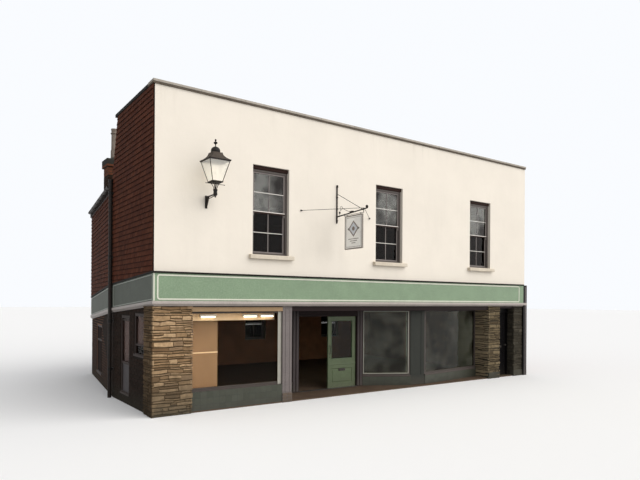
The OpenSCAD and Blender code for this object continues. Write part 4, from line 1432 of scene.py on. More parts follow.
def sash(name, left, right, low, high, front, back, rows, thin):
    """One sliding sash: its frame and its upright bar; the bars across go to the list thin."""
    middle, inside = (left + right) / 2, STILE_W - 0.005
    parts = [ring(name, (left, front, low), (right, back, high), STILE_W, "Y", 0.005), batten("bar",
        (middle - BAR_W / 2, front + 0.004, low + inside), (middle + BAR_W / 2, back - 0.008,
        high - inside), 0.006)]
    for n in range(1, rows):
        z = low + STILE_W + n * (high - low - 2 * STILE_W) / rows
        # The bars across take the pale bar paint later: a painted highlight on their tops.
        thin.append(batten("bar", (left + inside, front + 0.001, z - THIN_BAR / 2), (right - inside,
            back - 0.007, z + THIN_BAR / 2), 0.003))
    return parts


def pane(name, left, right, low, high, y, thickness=0.005):
    """A pane of old glass, slightly out of true."""
    piece = block(name, (left, y - thickness / 2, low), (right, y + thickness / 2, high))
    tilt = Matrix.Rotation(draw.uniform(-0.006, 0.006), 4, "Z") @ Matrix.Rotation(draw.uniform(-0.006,
        0.006), 4, "X")
    middle = Matrix.Translation(((left + right) / 2, y, (low + high) / 2))
    return moved(piece, middle @ tilt @ middle.inverted())


def build_sash_windows():
    linings, boxes, bars, panes, thin, rails = [], [], [], [], [], []
    for left in sash_left_edges:
        right, low, high = left + sash_w, sash_z, sash_z + sash_h
        # Head lining: dark brown, and darker still as a painted shade under the head.
        head = block("head", (left, BOX_FRONT - 0.03, high - HEAD_H), (right, 0.18, high))
        round_edges(head, X, lambda c: c.y < 0.1 and c.z < high - 0.01, 0.02, 3)
        linings.append(head)
        boxes.append(ring("box", (left, BOX_FRONT, low), (right, 0.18, high - HEAD_H), BOX_W, "Y",
            0.006))
        inner_left, inner_right = left + BOX_W - 0.004, right - BOX_W + 0.004
        middle = (low + high - HEAD_H) / 2 + 0.01
        sashes = ((middle - 0.02, high - HEAD_H - BOX_W + 0.01, UPPER_Y), (low + BOX_W - 0.01,
            middle + 0.025, LOWER_Y))
        for foot, top, depth in sashes:
            bars += sash("sash", inner_left, inner_right, foot, top, *depth, 2, thin)
        # The meeting rail's top: a pale strip, a painted highlight.
        thin.append(batten("rail_top", (inner_left, UPPER_Y[0] - 0.005, middle + 0.009), (inner_right,
            UPPER_Y[0] + 0.01, middle + 0.027), 0.003))
        # The meeting rail's face: near black, a painted shadow under its pale top.
        rails.append(batten("rail_face", (inner_left, UPPER_Y[0] - 0.003, middle - 0.022), (inner_right,
            UPPER_Y[0] + 0.01, middle + 0.009), 0.002))
        for x in (inner_left + 0.005, inner_right - 0.04):
            horn = block("horn", (x, UPPER_Y[0], middle - 0.085), (x + 0.035, UPPER_Y[1],
                middle - 0.015))
            round_edges(horn, Y, lambda c: c.z < middle - 0.08, 0.012, 3)
            bars.append(horn)
        for foot, top, depth in sashes:
            panes += sash_panes(inner_left, inner_right, foot, top, sum(depth) / 2)
    dress(join(linings, "sash_window_heads"), "brown_lining", "mauve_joinery")
    dress(join(boxes, "sash_window_boxes"), "mauve_joinery", replaces="sash_windows")
    dress(join(bars, "sash_window_sashes"), "sash_paint", "mauve_joinery")
    # Bars across and rail tops: pale, a painted highlight.
    dress(join(thin, "sash_window_thin_bars"), "bar_paint", "mauve_joinery")
    dress(join(rails, "sash_meeting_rails"), "brown_lining", "mauve_joinery")
    panes = dress(join(panes, "sash_window_panes"), "upper_sash_glass", "window_glass", "sash_glass")
    # The lower sashes' panes take dark brown glass, a painted shade of the room behind.
    second_finish(panes, "lower_sash_glass", lambda spot: spot.y > (UPPER_Y[1] + LOWER_Y[0]) / 2)


def sash_panes(left, right, low, high, y):
    """The four panes of one sash."""
    left, right, low, high = left + STILE_W, right - STILE_W, low + STILE_W, high - STILE_W
    xs = (left - 0.004, (left + right) / 2, right + 0.004)
    zs = (low - 0.004, (low + high) / 2, high + 0.004)
    return [pane("sash_pane", xs[i], xs[i + 1], zs[j], zs[j + 1], y) for i in (0, 1) for j in (0, 1)]


SILL_HORN = 0.1


def build_sills():
    """Weathered stone sills with a rounded lip."""
    sills = []
    for left in sash_left_edges:
        sill = block("sill", (left - SILL_HORN, sill_low.y, sill_low.z), (left + sash_w + SILL_HORN,
            0.0, sill_high.z))
        round_edges(sill, X, lambda c: c.y < -0.05 and c.z > sill_high.z - 0.01, 0.018)
        soften(sill, 0.006)
        apron = block("sill_bed", (left, 0.0, sill_high.z - 0.03), (left + sash_w, 0.1,
            sill_high.z + 0.004))
        sills += [sill, soften(apron, 0.003)]
    dress(join(sills, "stone_sills"), "sill_stone", "cream_render", "window_sills")


laid("coping_laid", [(0.4, 0.365, 0.32), (0.5, 0.455, 0.4), (0.44, 0.4, 0.35)],
    (0.27, 0.24, 0.2), 0.85, 0.004, dirt=0.0)
# Lines on the lane boards: the cream line worn and darkened, partly a painted shade of the lane.
paint("lane_line", (0.3, 0.32, 0.28), 0.5, 0.1, 0.3)
paint("cornice_paint", (0.355, 0.315, 0.29), 0.45, 0.3, 0.4)
paint("sash_paint", (0.185, 0.16, 0.15), 0.4, 0.2, 0.1)
# Upper sash glass, with a painted reflection of the sky in patches.
glass("upper_sash_glass", (0.7, 0.71, 0.68), silver=0.046, dark=(0.09, 0.075, 0.07))
# Lower sash glass: dark brown, a painted shade of the room behind.
glass("lower_sash_glass", (0.1, 0.045, 0.04), index=1.15)

lay_coping()
lay_lead()
lay_boards()
build_sash_windows()
build_sills()


# Display windows, set out along plan lines like their CAD frames

pilaster_low, pilaster_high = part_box("shop_pilaster")
entrance_low, entrance_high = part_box("entrance_frame")
open_leaf_low, open_leaf_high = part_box("open_door_leaf")
middle_pier_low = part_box("middle_pier")[0]

POST_LEFT, POST_RIGHT = (7.64, 0.25), (8.16, 0.18)
DISPLAY_LINES = {"street_window": ((corner_pier_high.x, 0.06), (pilaster_low.x, 0.06), 0.44),
    "porch_window": ((pilaster_high.x, 0.24), (entrance_low.x, 0.94), 0.31),
    "door_side_window": ((entrance_high.x, 0.94), POST_LEFT, 0.31), "pier_side_window": (POST_RIGHT,
    (middle_pier_low.x, 0.5), 0.31),}
SHOP_HEAD_Z = soffit_low.z
LEAF_W = open_leaf_high.y - open_leaf_low.y
LEAF_T = 0.05
LEAF_H = 1.98
LEAF_FOOT = 0.04
STILE = 0.11
LEAF_GLASS_Z = 0.8
OPEN_LEAF_PLACE = (Matrix.Translation((open_leaf_high.x, open_leaf_low.y, LEAF_FOOT))
    @ Matrix.Rotation(math.pi / 2, 4, "Z"))


def plan_place(start, end):
    """A matrix that lays a piece made along +X on a plan line, its ends square to the street."""
    run = Vector(end) - Vector(start)
    slant = run.length / run.x
    return Matrix(((run.x / run.length, 0, 0, start[0]), (run.y / run.length, slant, 0, start[1]),
        (0, 0, 1, 0), (0, 0, 0, 1)))


HEAD_RAIL, SIDE_RAIL, FOOT_RAIL = 0.035, 0.055, 0.062


def build_display_windows():
    frames, pale_beads, beads, ledges, sheets = [], [], [], [], []
    for name, (start, end, sill) in DISPLAY_LINES.items():
        place = plan_place(start, end)
        long = (Vector(end) - Vector(start)).length
        left, right = SIDE_RAIL, long - SIDE_RAIL
        low, high = sill + FOOT_RAIL, SHOP_HEAD_Z - HEAD_RAIL
        near, far = left - 0.004, right + 0.004
        for start_corner, end_corner in (((0, 0, sill), (left, 0.08, SHOP_HEAD_Z)), ((right, 0, sill),
                (long, 0.08, SHOP_HEAD_Z)), ((near, 0.003, high), (far, 0.077, SHOP_HEAD_Z)),
                ((near, 0.003, sill), (far, 0.077, low))):
            frames.append(moved(batten(name, start_corner, end_corner, 0.006), place))
        for front, back in ((-0.006, 0.012), (0.056, 0.074)):
            bead = ring("bead", (left - 0.012, front, low - 0.012), (right + 0.012, back, high + 0.01),
                0.02, "Y", 0.005)
            (pale_beads if name == "door_side_window" else beads).append(moved(bead, place))
        sheets.append(moved(block("pane", (left - 0.006, 0.037, low - 0.006), (right + 0.006, 0.043,
            high + 0.006)), place))
        ledge = block("ledge", (0.0, -0.035, sill - 0.035), (long, 0.1, sill + 0.006))
        round_edges(ledge, X, lambda c: c.y < 0, 0.012, 3)
        ledges.append(moved(ledge, place))
        if name == "street_window":
            pale_beads.append(moved(batten("cover_board", (right - 0.045, -0.014, sill + 0.01),
                (long - 0.003, -0.007, SHOP_HEAD_Z - 0.01), 0.002), place))
    leaf_glass = block("leaf_pane", (STILE - 0.004, LEAF_T / 2 - 0.003, LEAF_GLASS_Z - 0.004),
        (LEAF_W - STILE + 0.004, LEAF_T / 2 + 0.003, LEAF_H - STILE + 0.004))
    sheets.append(moved(leaf_glass, OPEN_LEAF_PLACE))
    dress(join(frames, "display_window_frames"), "display_joinery", "cream_joinery", "display_windows")
    dress(join(beads, "display_window_beads"), "display_joinery", "cream_joinery")
    dress(join(pale_beads, "door_side_window_beads"), "bead_paint", "cream_joinery")
    dress(join(ledges, "display_window_ledges"), "display_joinery", "cream_joinery")
    sheets = dress(join(sheets, "display_window_panes"), "window_glass", replaces="display_glass")
    second_finish(sheets, "street_window_glass", lambda spot: spot.x < pilaster_low.x)
    second_finish(sheets, "display_window_glass", lambda spot: spot.x > entrance_high.x)


def build_window_lining():
    """What lines the street window inside: a panel at its left, a lit pelmet and strip lights."""
    left, right, top, pier_x = corner_pier_high.x, pilaster_low.x, SHOP_HEAD_Z, middle_pier_low.x
    for name, finish, parts in (("street_window_backing", "backing_panel", (((left + 0.08, 0.5, 0.45),
            (left + 0.86, 0.53, 2.05), 0.004), ((left + 0.08, 0.15, 0.45), (left + 0.1, 0.5, 2.05),
            0.003))), ("backing_panel_rail", "pale_board", (((left + 0.1, 0.485, 1.235), (left + 0.86,
            0.502, 1.262), 0.003),)), ("lighting_pelmet", "pale_board", (((left + 0.06, 0.34, 1.985),
            (right - 0.02, 0.37, top), 0.004), ((left + 0.06, 0.15, top - 0.03), (right - 0.02, 0.34,
            top - 0.002), 0.004)))):
        dress(join([batten(name, *part) for part in parts], name), finish, "cream_joinery")
    tubes, holders = [], []
    for x in (left + 0.35, left + 1.42, left + 1.88):
        tubes.append(rod("tube", (x, 0.28, 2.07), (x + 0.34, 0.28, 2.07), 0.014))
        holders.append(batten("holder", (x - 0.03, 0.255, 2.085), (x + 0.37, 0.305, 2.13), 0.006))
        holders += [batten("cap", (end, 0.262, 2.05), (end + 0.022, 0.298, 2.1)) for end in (x - 0.022,
            x + 0.34)]
    dress(join(tubes, "strip_light_tubes"), "strip_light", "cream_joinery")
    dress(join(holders, "strip_light_holders"), "white_joinery")
    floor = batten("street_window_floor", (left + 0.01, 0.22, 0.36), (right, 0.6, 0.4))
    dress(floor, "backing_panel", "cream_joinery")
    lining = batten("pier_side_lining", (pier_x - 0.045, 0.6, floor_high.z), (pier_x - 0.02, 1.2, top))
    dress(lining, "window_side_lining", "cream_joinery")


def build_pilaster():
    """Raised lines and a plain base on the pilaster and the post."""
    low, high = pilaster_low, pilaster_high
    head = cornice_foot - 0.002
    strips = [batten("reed", (low.x + at, -0.008, 0.25), (low.x + at + width, 0.01, head)) for at,
        width in ((0.004, 0.06), (0.085, 0.1), (0.206, 0.06))]
    dress(join(strips, "pilaster_strips"), "lilac_light_paint", "lilac_paint")
    base = [batten("brick", (low.x + at, low.y - 0.006, z + 0.002), (low.x + at + width, low.y + 0.03,
        z + tall), 0.006) for z, tall in ((0.0, 0.075), (0.08, 0.068), (0.153, 0.075)) for at,
        width in ((0.004, 0.126), (0.138, 0.128))]
    dress(join(base, "pilaster_base_bricks"), "pilaster_base", "red_brick")
    cap = batten("pilaster_cap", (low.x, -0.004, SHOP_HEAD_Z - 0.01), (high.x, 0.02, head), 0.003)
    dress(cap, "lilac_paint")
    strips = [batten("reed", (start, -0.01, 0.06), (start + 0.11, 0.01, SHOP_HEAD_Z - 0.005))
        for start in (0.02, 0.395)]
    strips.append(batten("foot", (0.0, -0.022, 0.032), (0.524, 0.01, 0.3), 0.006))
    dress(moved(join(strips, "post_strips"), plan_place(POST_LEFT, POST_RIGHT)), "post_paint",
        "dark_paint")


CEILING_BOARD_W = 0.11
paint("head_board", (0.33, 0.225, 0.13), 0.6, 0.2, 0.1, sheen=0.1)


def build_head_boards():
    """Head boards behind the cornice, and the boarded porch ceiling."""
    foot = SHOP_HEAD_Z - 0.002
    head = batten("porch_head_board", (pilaster_high.x, -0.01, foot), (middle_pier_low.x, 0.02,
        cornice_foot - 0.004))
    dress(head, "dark_paint", "cream_joinery")
    head = batten("street_window_head_board", (corner_pier_high.x, -0.012, foot), (pilaster_low.x, 0.02,
        cornice_foot - 0.022))
    dress(head, "head_board", "cream_joinery")
    boards = Field(61)
    y = 0.08
    while y < soffit_high.y - 0.02:
        far = min(y + CEILING_BOARD_W, soffit_high.y) - 0.003
        corners = [(x, side, z) for z in (SHOP_HEAD_Z - 0.008, SHOP_HEAD_Z + 0.004)
            for side in (y + 0.003, far) for x in (0.9, 10.8)]
        boards.add(corners, [(0, 2, 3, 1), (4, 5, 7, 6), (0, 1, 5, 4), (2, 6, 7, 3), (0, 4, 6, 2),
            (1, 3, 7, 5)], boards.rng.uniform(0, 1))
        y += CEILING_BOARD_W
    dress(boards.piece("porch_ceiling_boards"), "dark_paint")


# Doors

def door_parts(pull_x):
    """A half-glazed leaf at the origin: its frame and beads, and its iron."""
    glass_top = LEAF_H - STILE
    leaf = block("leaf", (0, 0, 0), (LEAF_W, LEAF_T, LEAF_H))
    cut(leaf, (0, 0, 0.66), Z)
    shape(leaf, "FACE", lambda f: abs(f.normal.y) > 0.9 and f.calc_center_median().z > 0.66,
        inset(STILE), bridge)
    shape(leaf, "FACE", lambda f: abs(f.normal.y) > 0.9 and f.calc_center_median().z < 0.6
        and f.calc_area() > 0.3, inset(0.12), inset(0.012, -0.012), inset(0.03), inset(0.014, 0.009))
    wood = [soften(leaf, 0.004, 2, 50), batten("mould", (0.0, -0.012, 0.635), (LEAF_W, 0.004, 0.668),
        0.008)]
    for y in (-0.006, LEAF_T - 0.012):
        wood.append(ring("bead", (STILE - 0.012, y, LEAF_GLASS_Z - 0.012), (LEAF_W - STILE + 0.012,
            y + 0.018, glass_top + 0.012), 0.026, "Y", 0.005))
    wood.append(batten("rail", (STILE - 0.003, 0.003, 0.74), (LEAF_W - STILE + 0.003, LEAF_T - 0.003,
        LEAF_GLASS_Z), 0.003))
    middle = LEAF_W / 2
    metal = [batten("letter_plate", (middle - 0.115, -0.008, 0.46), (middle + 0.115, 0.004, 0.53)),
        batten("letter_flap", (middle - 0.09, -0.014, 0.475), (middle + 0.09, 0.0, 0.515))]
    return wood, metal + pull_handle(pull_x, 0.0, 0.95)


def pull_handle(x, y, z, tall=0.22, out=0.045, radius=0.03):
    """A bowed pull handle on two roses, its face along -Y."""
    reach = out - radius
    bar = drawn_out("pull", (x, y, z), 0.009, -Y, 12, push(-Y * reach), bend(math.pi / 2, (x, y - reach,
        z + radius), -X), push(Z * (tall - 2 * radius)), bend(math.pi / 2, (x, y - reach,
        z + tall - radius), -X), push(Y * reach))
    roses = [soften(drawn_out("rose", (x, y + 0.002, height), 0.02, -Y, 16, push(-Y * 0.007)), 0.002, 1)
        for height in (z, z + tall)]
    return [smooth(bar), *roses]


def build_shop_doors():
    wood, metal = door_parts(0.055)
    metal.append(drawn_out("escutcheon", (0.055, 0.001, 0.86), 0.016, -Y, 16, push(-Y * 0.005)))
    place = Matrix.Translation((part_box("shop_door")[0].x, DOOR_BACK - LEAF_T, LEAF_FOOT))
    dress(moved(join(wood, "shop_door_leaf"), place), "green_paint", "green_paint", "shop_door",
        body="shop_door")
    dress(moved(join(metal, "shop_door_iron"), place), "door_iron", "cast_iron", body="shop_door")
    hang_door("shop_door", shop_hinge_x, shop_hinge_y, -1)
    wood, metal = door_parts(LEAF_W - 0.055)
    dress(moved(join(wood, "open_leaf"), OPEN_LEAF_PLACE), "green_paint", "green_paint",
        "open_door_leaf")
    dress(moved(join(metal, "open_leaf_iron"), OPEN_LEAF_PLACE), "door_iron", "cast_iron")
    low, high = entrance_low, entrance_high
    threshold = batten("door_threshold", (low.x + 0.21, 0.86, 0.028), (high.x - 0.22, 1.0, 0.045), 0.006)
    dress(threshold, "door_iron", "cast_iron")
    lines = [batten("lining", (x, low.y - 0.014, 0.05), (x + 0.07, low.y + 0.004, SHOP_HEAD_Z - 0.02),
        0.006) for x in (low.x + 0.02, low.x + 0.12, high.x - 0.2, high.x - 0.1)]
    dress(join(lines, "entrance_linings"), "lilac_dark_paint", "lilac_paint")
    head = batten("entrance_head_moulding", (low.x + 0.02, low.y - 0.012, 2.045), (high.x - 0.02,
        low.y + 0.004, 2.085), 0.006)
    dress(head, "dark_paint")


HINGE_HEIGHTS = (0.25, 1.0, 1.75)
DOOR_BACK = 1.0
BLACK_RAIL_Z = (0.88, 1.08)
shop_hinge_x, shop_hinge_y = 6.17, 1.008
black_hinge_x, black_hinge_y = 11.404, 0.308


def hang_door(door, x, y, toward):
    """Three butt hinges: their middle knuckles ride on the leaf, their end knuckles stay."""
    middle, ends = [], []

    def knuckle(parts, low, tall, way):
        parts.append(rod("knuckle", (x, y, low), (x, y, low + tall), 0.007, 16))
        tab = (x, x + way * 0.02)
        parts.append(block("tab", (min(tab), y - 0.008, low), (max(tab), y - 0.0045, low + tall)))

    for height in HINGE_HEIGHTS:
        z = LEAF_FOOT + height
        knuckle(middle, z - 0.029, 0.058, toward)
        knuckle(ends, z - 0.056, 0.025, -toward)
        knuckle(ends, z + 0.031, 0.025, -toward)
        ends.append(turned("tip", (x, y, z + 0.056), [(0.005, 0), (0.006, 0.004), (0.004, 0.009),
            (0.001, 0.011)], 12))
    dress(join(middle, door + "_hinges"), "door_iron", "cast_iron", body=door)
    dress(join(ends, door + "_hinge_pins"), "door_iron", "cast_iron")


def build_black_door():
    low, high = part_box("black_door")
    front, left = 0.25, black_hinge_x + 0.004
    middle = (left + high.x) / 2
    door = block("black_door_leaf", (left, front, low.z), (high.x, front + LEAF_T, high.z))
    cut(door, (middle, 0, 0), X)
    for z in BLACK_RAIL_Z:
        cut(door, (0, 0, z), Z)
    for side in (False, True):
        for z0, z1 in ((0, BLACK_RAIL_Z[0]), (BLACK_RAIL_Z[1], 3)):
            shape(door, "FACE", lambda f: abs(f.normal.y) > 0.9
                and (f.calc_center_median().x > middle) == side and z0 < f.calc_center_median().z < z1,
                inset(0.075), inset(0.012, -0.012), inset(0.02), inset(0.012, 0.008))
    soften(door, 0.003, 1, 50)
    dress(door, "black_paint", replaces="black_door", body="black_door")
    metal = [turned_knob(high.x - 0.06, front, 1.02), batten("letter_plate", (left + 0.21,
        front - 0.008, 0.94), (left + 0.46, front + 0.003, 1.01))]
    dress(join(metal, "black_door_iron"), "door_iron", "cast_iron", body="black_door")
    hang_door("black_door", black_hinge_x, black_hinge_y, 1)
    low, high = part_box("black_door_frame")
    step = batten("side_door_step", (low.x + 0.005, 0.02, 0.028), (high.x - 0.005, 0.22, 0.036))
    dress(step, "pier_mortar", "brown_rubble")


def turned_knob(x, y, z):
    """A round knob on a rose, its axis along -Y."""
    knob = turned("knob", (0, 0, 0), [(0.028, 0.0), (0.028, 0.006), (0.011, 0.012), (0.011, 0.03),
        (0.026, 0.042), (0.028, 0.055), (0.018, 0.068), (0.002, 0.072)], 20)
    return moved(knob, Matrix.Translation((x, y, z)) @ Matrix.Rotation(math.pi / 2, 4, "X"))


# Windows of the lane side and of the rear wall

LANE_FRAME_IN = 0.01
LANE_SILL_OUT = 0.03


def framed_window(spot, window, *extra):
    """A fixed window in the lane wall: its frame and its sill, and what else is its own."""
    low, width, tall = window[1:]
    frame = ring("frame", (0, 0, low), (width, 0.07, low + tall), 0.06, "Y", 0.005)
    sill = block("sill", (0.0, -LANE_SILL_OUT, low), (width, 0.0, low + 0.05))
    round_edges(sill, X, lambda c: c.y < 0 and c.z > low + 0.04, 0.01)
    return [moved(part, spot) for part in (frame, sill, *extra)]


def build_lane_windows():
    frames, openings = [], []
    for window, rail_foot, rail_top, blind_top in zip(LANE_WINDOWS, (1.42, 0.92), (1.46, 0.98),
            (2.1, 2.04)):
        at, low, width, tall = window
        spot = place_along((0, 0, 0), -Y) @ Matrix.Translation((-at - width, LANE_FRAME_IN, 0))
        bead = ring("bead", (0.05, -0.006, low + 0.05), (width - 0.05, 0.012, low + tall - 0.05), 0.02,
            "Y", 0.004)
        rail = batten("rail", (0.055, 0.004, rail_foot), (width - 0.055, 0.06, rail_top))
        frames += framed_window(spot, window, bead, rail)
        openings.append((spot, width, rail_top, blind_top))
    panel = block("lane_window_panel", (0.055, 0.02, low + 0.055), (width - 0.055, 0.045, 0.925))
    shape(panel, "FACE", facing(-Y), inset(0.03), inset(0.01, -0.008))
    dress(moved(panel, spot), "lane_panel", "grey_joinery")
    blinds = [moved(batten("blind", (0.062, 0.05, foot), (wide - 0.062, 0.056, top), 0.002), place)
        for place, wide, foot, top in openings]
    blind_rail = batten("rail", (0.055, 0.014, 1.95), (width - 0.055, 0.03, 1.985), 0.003)
    frames.append(moved(blind_rail, spot))
    at, low, width, tall = REAR_LANE_WINDOW
    spot = place_along(Vector((0, block_depth, 0)) - rear_lane_way * (at + width), rear_lane_way)
    bars = [batten("mullion", (x - 0.025, 0.002, low + 0.05), (x + 0.025, 0.064, low + tall - 0.05),
        0.005) for x in (0.4, 0.8)]
    transom = batten("transom", (0.055, 0.004, low + 0.98), (width - 0.055, 0.062, low + 1.03), 0.005)
    frames += framed_window(spot @ Matrix.Translation((0, LANE_FRAME_IN, 0)), REAR_LANE_WINDOW, transom,
        *bars)
    dress(join(frames, "lane_window_frames"), "grey_joinery", replaces="side_windows")
    dress(join(blinds, "lane_window_blinds"), "window_blind", "grey_joinery")


def build_rear_windows():
    frames, sills = [], []
    turn_round = Matrix.Rotation(math.pi, 4, "Z")
    for left in REAR_LEFTS:
        back = Matrix.Translation((left + REAR_W, rear_y - 0.07, 0)) @ turn_round
        for low, tall in REAR_ROWS:
            middle, high = low + tall / 2, low + tall
            parts = [ring("box", (0, 0, low), (REAR_W, 0.08, high), 0.055, "Y", 0.005)]
            for foot, top, near, far in ((middle - 0.02, high - 0.045, 0.018, 0.046), (low + 0.045,
                    middle + 0.025, 0.044, 0.072)):
                parts += sash("sash", 0.045, REAR_W - 0.045, foot, top, near, far, 1, [])
            frames += [moved(part, back) for part in parts]
            sills.append(moved(batten("sill", (-0.05, -0.12, low - 0.07), (REAR_W + 0.05, 0.0, low),
                0.008), back))
    dress(join(frames, "rear_window_frames"), "mauve_joinery", replaces="rear_windows")
    dress(join(sills, "rear_window_sills"), "sill_stone", "cream_render")


paint("bead_paint", (0.37, 0.36, 0.31), 0.4, 0.2, 0.3)
# Display window joinery: the joinery paint made dark brown, partly as a painted shade under the cornice.
paint("display_joinery", (0.07, 0.058, 0.052), 0.5, 0.3, 0.4, sheen=0.15)
# The lilac paint darkened for the entrance linings: a painted shade of the entrance recess.
paint("lilac_dark_paint", (0.05, 0.041, 0.041), 0.55, 0.3, 0.4, sheen=0.15)
stone("pilaster_base", (0.2, 0.15, 0.12), (0.12, 0.09, 0.075), depth=0.003)
stone("window_blind", (0.25, 0.2, 0.19), (0.19, 0.15, 0.14), 0.8, depth=0.001, dirt=0.2, rain=0.2)
paint("window_side_lining", (0.38, 0.37, 0.37), 0.6, 0.1, 0.1, sheen=0.1)

build_display_windows()
build_window_lining()
build_pilaster()
build_head_boards()
build_shop_doors()
build_black_door()
build_lane_windows()
build_rear_windows()


# Wall lantern

lantern_low, lantern_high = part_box("lantern_frame")
LANTERN_FOOT_Z = 4.98
GLASS_FOOT, GLASS_HEAD, GLASS_TALL = 0.115, 0.24, 0.43


def square_turned(name, foot, outline):
    """Like turned, but square in plan; outline lists half widths and heights."""
    piece = turned(name, (0, 0, 0), [(half * math.sqrt(2), z) for half, z in outline], 4)
    pick(piece)
    bpy.ops.object.shade_flat()
    return moved(piece, Matrix.Translation(foot) @ Matrix.Rotation(math.pi / 4, 4, "Z"))


def build_lantern():
    x, y = ((lantern_low + lantern_high) / 2).xy
    z = LANTERN_FOOT_Z
    corners = ((-1, -1), (-1, 1), (1, -1), (1, 1))

    def at(corner, half, height):
        """A point over or under one corner of the lantern."""
        return Vector((x + corner[0] * half, y + corner[1] * half, z + height))

    plate_low = z - 0.515
    plate = block("plate", (x - 0.025, -0.022, plate_low), (x + 0.025, 0.0, plate_low + 0.28))
    shape(plate, "FACE", facing(-Y), inset(0.008), push(-Y * 0.005))
    gusset = block("gusset", (x - 0.008, -0.17, plate_low + 0.01), (x + 0.008, -0.02, z - 0.262))
    cut(gusset, (x, -0.045, plate_low + 0.01), (0, -0.9, -0.5), clear_outer=True, use_fill=True)
    shape(gusset, "FACE", all_parts, face_outwards)
    metal = [soften(plate, 0.003), gusset]
    metal += [ball("bolt", (x, -0.028, plate_low + height), 0.009, 10) for height in (0.03, 0.25)]
    metal.append(batten("arm", (x - 0.014, y, z - 0.285), (x + 0.014, -0.02, z - 0.258), 0.006))
    metal.append(bar_along("brace", [(x, -0.12, z - 0.32), (x, -0.26, z - 0.315), (x, y + 0.03,
        z - 0.3)], 0.008))
    metal.append(turned("post", (x, y, z), [(0.004, -0.345), (0.014, -0.338), (0.02, -0.326),
        (0.012, -0.316), (0.034, -0.3), (0.044, -0.285), (0.046, -0.262), (0.04, -0.255), (0.04, -0.2),
        (0.047, -0.192), (0.047, -0.172), (0.036, -0.162), (0.012, -0.155)]))
    leg = ((0.02, -0.175), (0.026, -0.145), (0.036, -0.1), (0.052, -0.065), (0.078, -0.028))
    metal += [bar_along("leg", [at(c, *spot) for spot in leg], 0.0075) for c in corners]
    metal.append(rod("gas_pipe", (x, y, z - 0.16), (x, y, z + 0.03), 0.009))
    ends = [(x + side * 0.215, y, z - 0.055) for side in (-1, 1)]
    metal.append(rod("ladder_bar", *ends, 0.006))
    metal += [ball("ladder_end", end, 0.01, 10) for end in ends]
    dress(join(metal, "lantern_wall_bracket"), "cast_iron", replaces="lantern_bracket")
    cage = [square_turned("base", (x, y, z), [(0.095, -0.03), (0.122, -0.026), (0.126, -0.014),
        (0.122, -0.002), (0.108, 0.004)])]
    eave = (x, y, z + GLASS_TALL)
    slopes = ((0.236, 0.018), (0.205, 0.036), (0.176, 0.056), (0.15, 0.08), (0.128, 0.108),
        (0.114, 0.142), (0.106, 0.176))
    roof = square_turned("lantern_roof", eave, [(0.205, 0.008), (0.236, 0.01), *slopes])
    dress(roof, "lantern_roof_sheet", "cast_iron")
    cage.append(square_turned("eave_rim", eave, [(0.205, -0.014), (0.24, -0.013), (0.247, -0.004),
        (0.247, 0.012), (0.238, 0.018), (0.228, 0.018)]))
    for c in corners:
        cage.append(rod("corner_bar", at(c, GLASS_FOOT, -0.005), at(c, GLASS_HEAD - 0.008, GLASS_TALL),
            0.0085, 8))
        cage.append(bar_along("hip", [at(c, half, GLASS_TALL + height) for half, height in slopes],
            0.007, 8))
        cage.append(ball("roof_corner", at(c, 0.242, GLASS_TALL + 0.008), 0.014, 8))
    cage.append(turned("dome", eave, [(0.09, 0.17), (0.104, 0.178), (0.104, 0.186), (0.094, 0.192),
        (0.099, 0.2), (0.1, 0.222), (0.094, 0.248), (0.08, 0.272), (0.058, 0.292), (0.032, 0.304),
        (0.014, 0.31), (0.01, 0.322), (0.01, 0.352), (0.016, 0.362), (0.036, 0.378), (0.044, 0.39),
        (0.036, 0.402), (0.014, 0.42), (0.009, 0.428), (0.018, 0.438), (0.022, 0.448), (0.018, 0.458),
        (0.008, 0.468), (0.002, 0.474)]))
    dress(join(cage, "lantern_cage"), "cast_iron", replaces="lantern_frame")
    burner = turned("lantern_burner", (x, y, z), [(0.01, 0.0), (0.01, 0.02), (0.006, 0.04),
        (0.006, 0.15), (0.015, 0.17), (0.013, 0.2), (0.003, 0.21)], 16)
    dress(burner, "sign_frame", "cast_iron")
    sheets = []
    head = GLASS_HEAD - 0.012
    for turn in range(4):
        sheet = block("pane", (-GLASS_FOOT, -GLASS_FOOT - 0.002, 0.0), (GLASS_FOOT, -GLASS_FOOT + 0.002,
            GLASS_TALL))
        widen = lambda: bpy.ops.transform.resize(value=(head / GLASS_FOOT, 1, 1),
            center_override=(0, 0, 0))
        shape(sheet, "FACE", facing(Z), widen, move((0, GLASS_FOOT - head, 0)))
        quarter = Matrix.Rotation(turn * math.pi / 2, 4, "Z")
        sheets.append(moved(sheet, Matrix.Translation((x, y, z + 0.002)) @ quarter))
    dress(join(sheets, "lantern_panes"), "lantern_pane", replaces="lantern_glass")


# Hanging sign

sign_low, sign_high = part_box("sign_board")
SIGN_X = (sign_low.x + sign_high.x) / 2
PIN_Z = 4.6
BOARD_TOP = PIN_Z - 0.022
BOARD_BOTTOM = sign_low.z
BOARD_NEAR, BOARD_FAR = sign_high.y, sign_low.y
ARM_Z, ARM_RISE, ARM_LENGTH = 4.61, 0.08, 1.25
STAY_OUT = 1.1


def arm_height(out):
    return ARM_Z + ARM_RISE * out / ARM_LENGTH


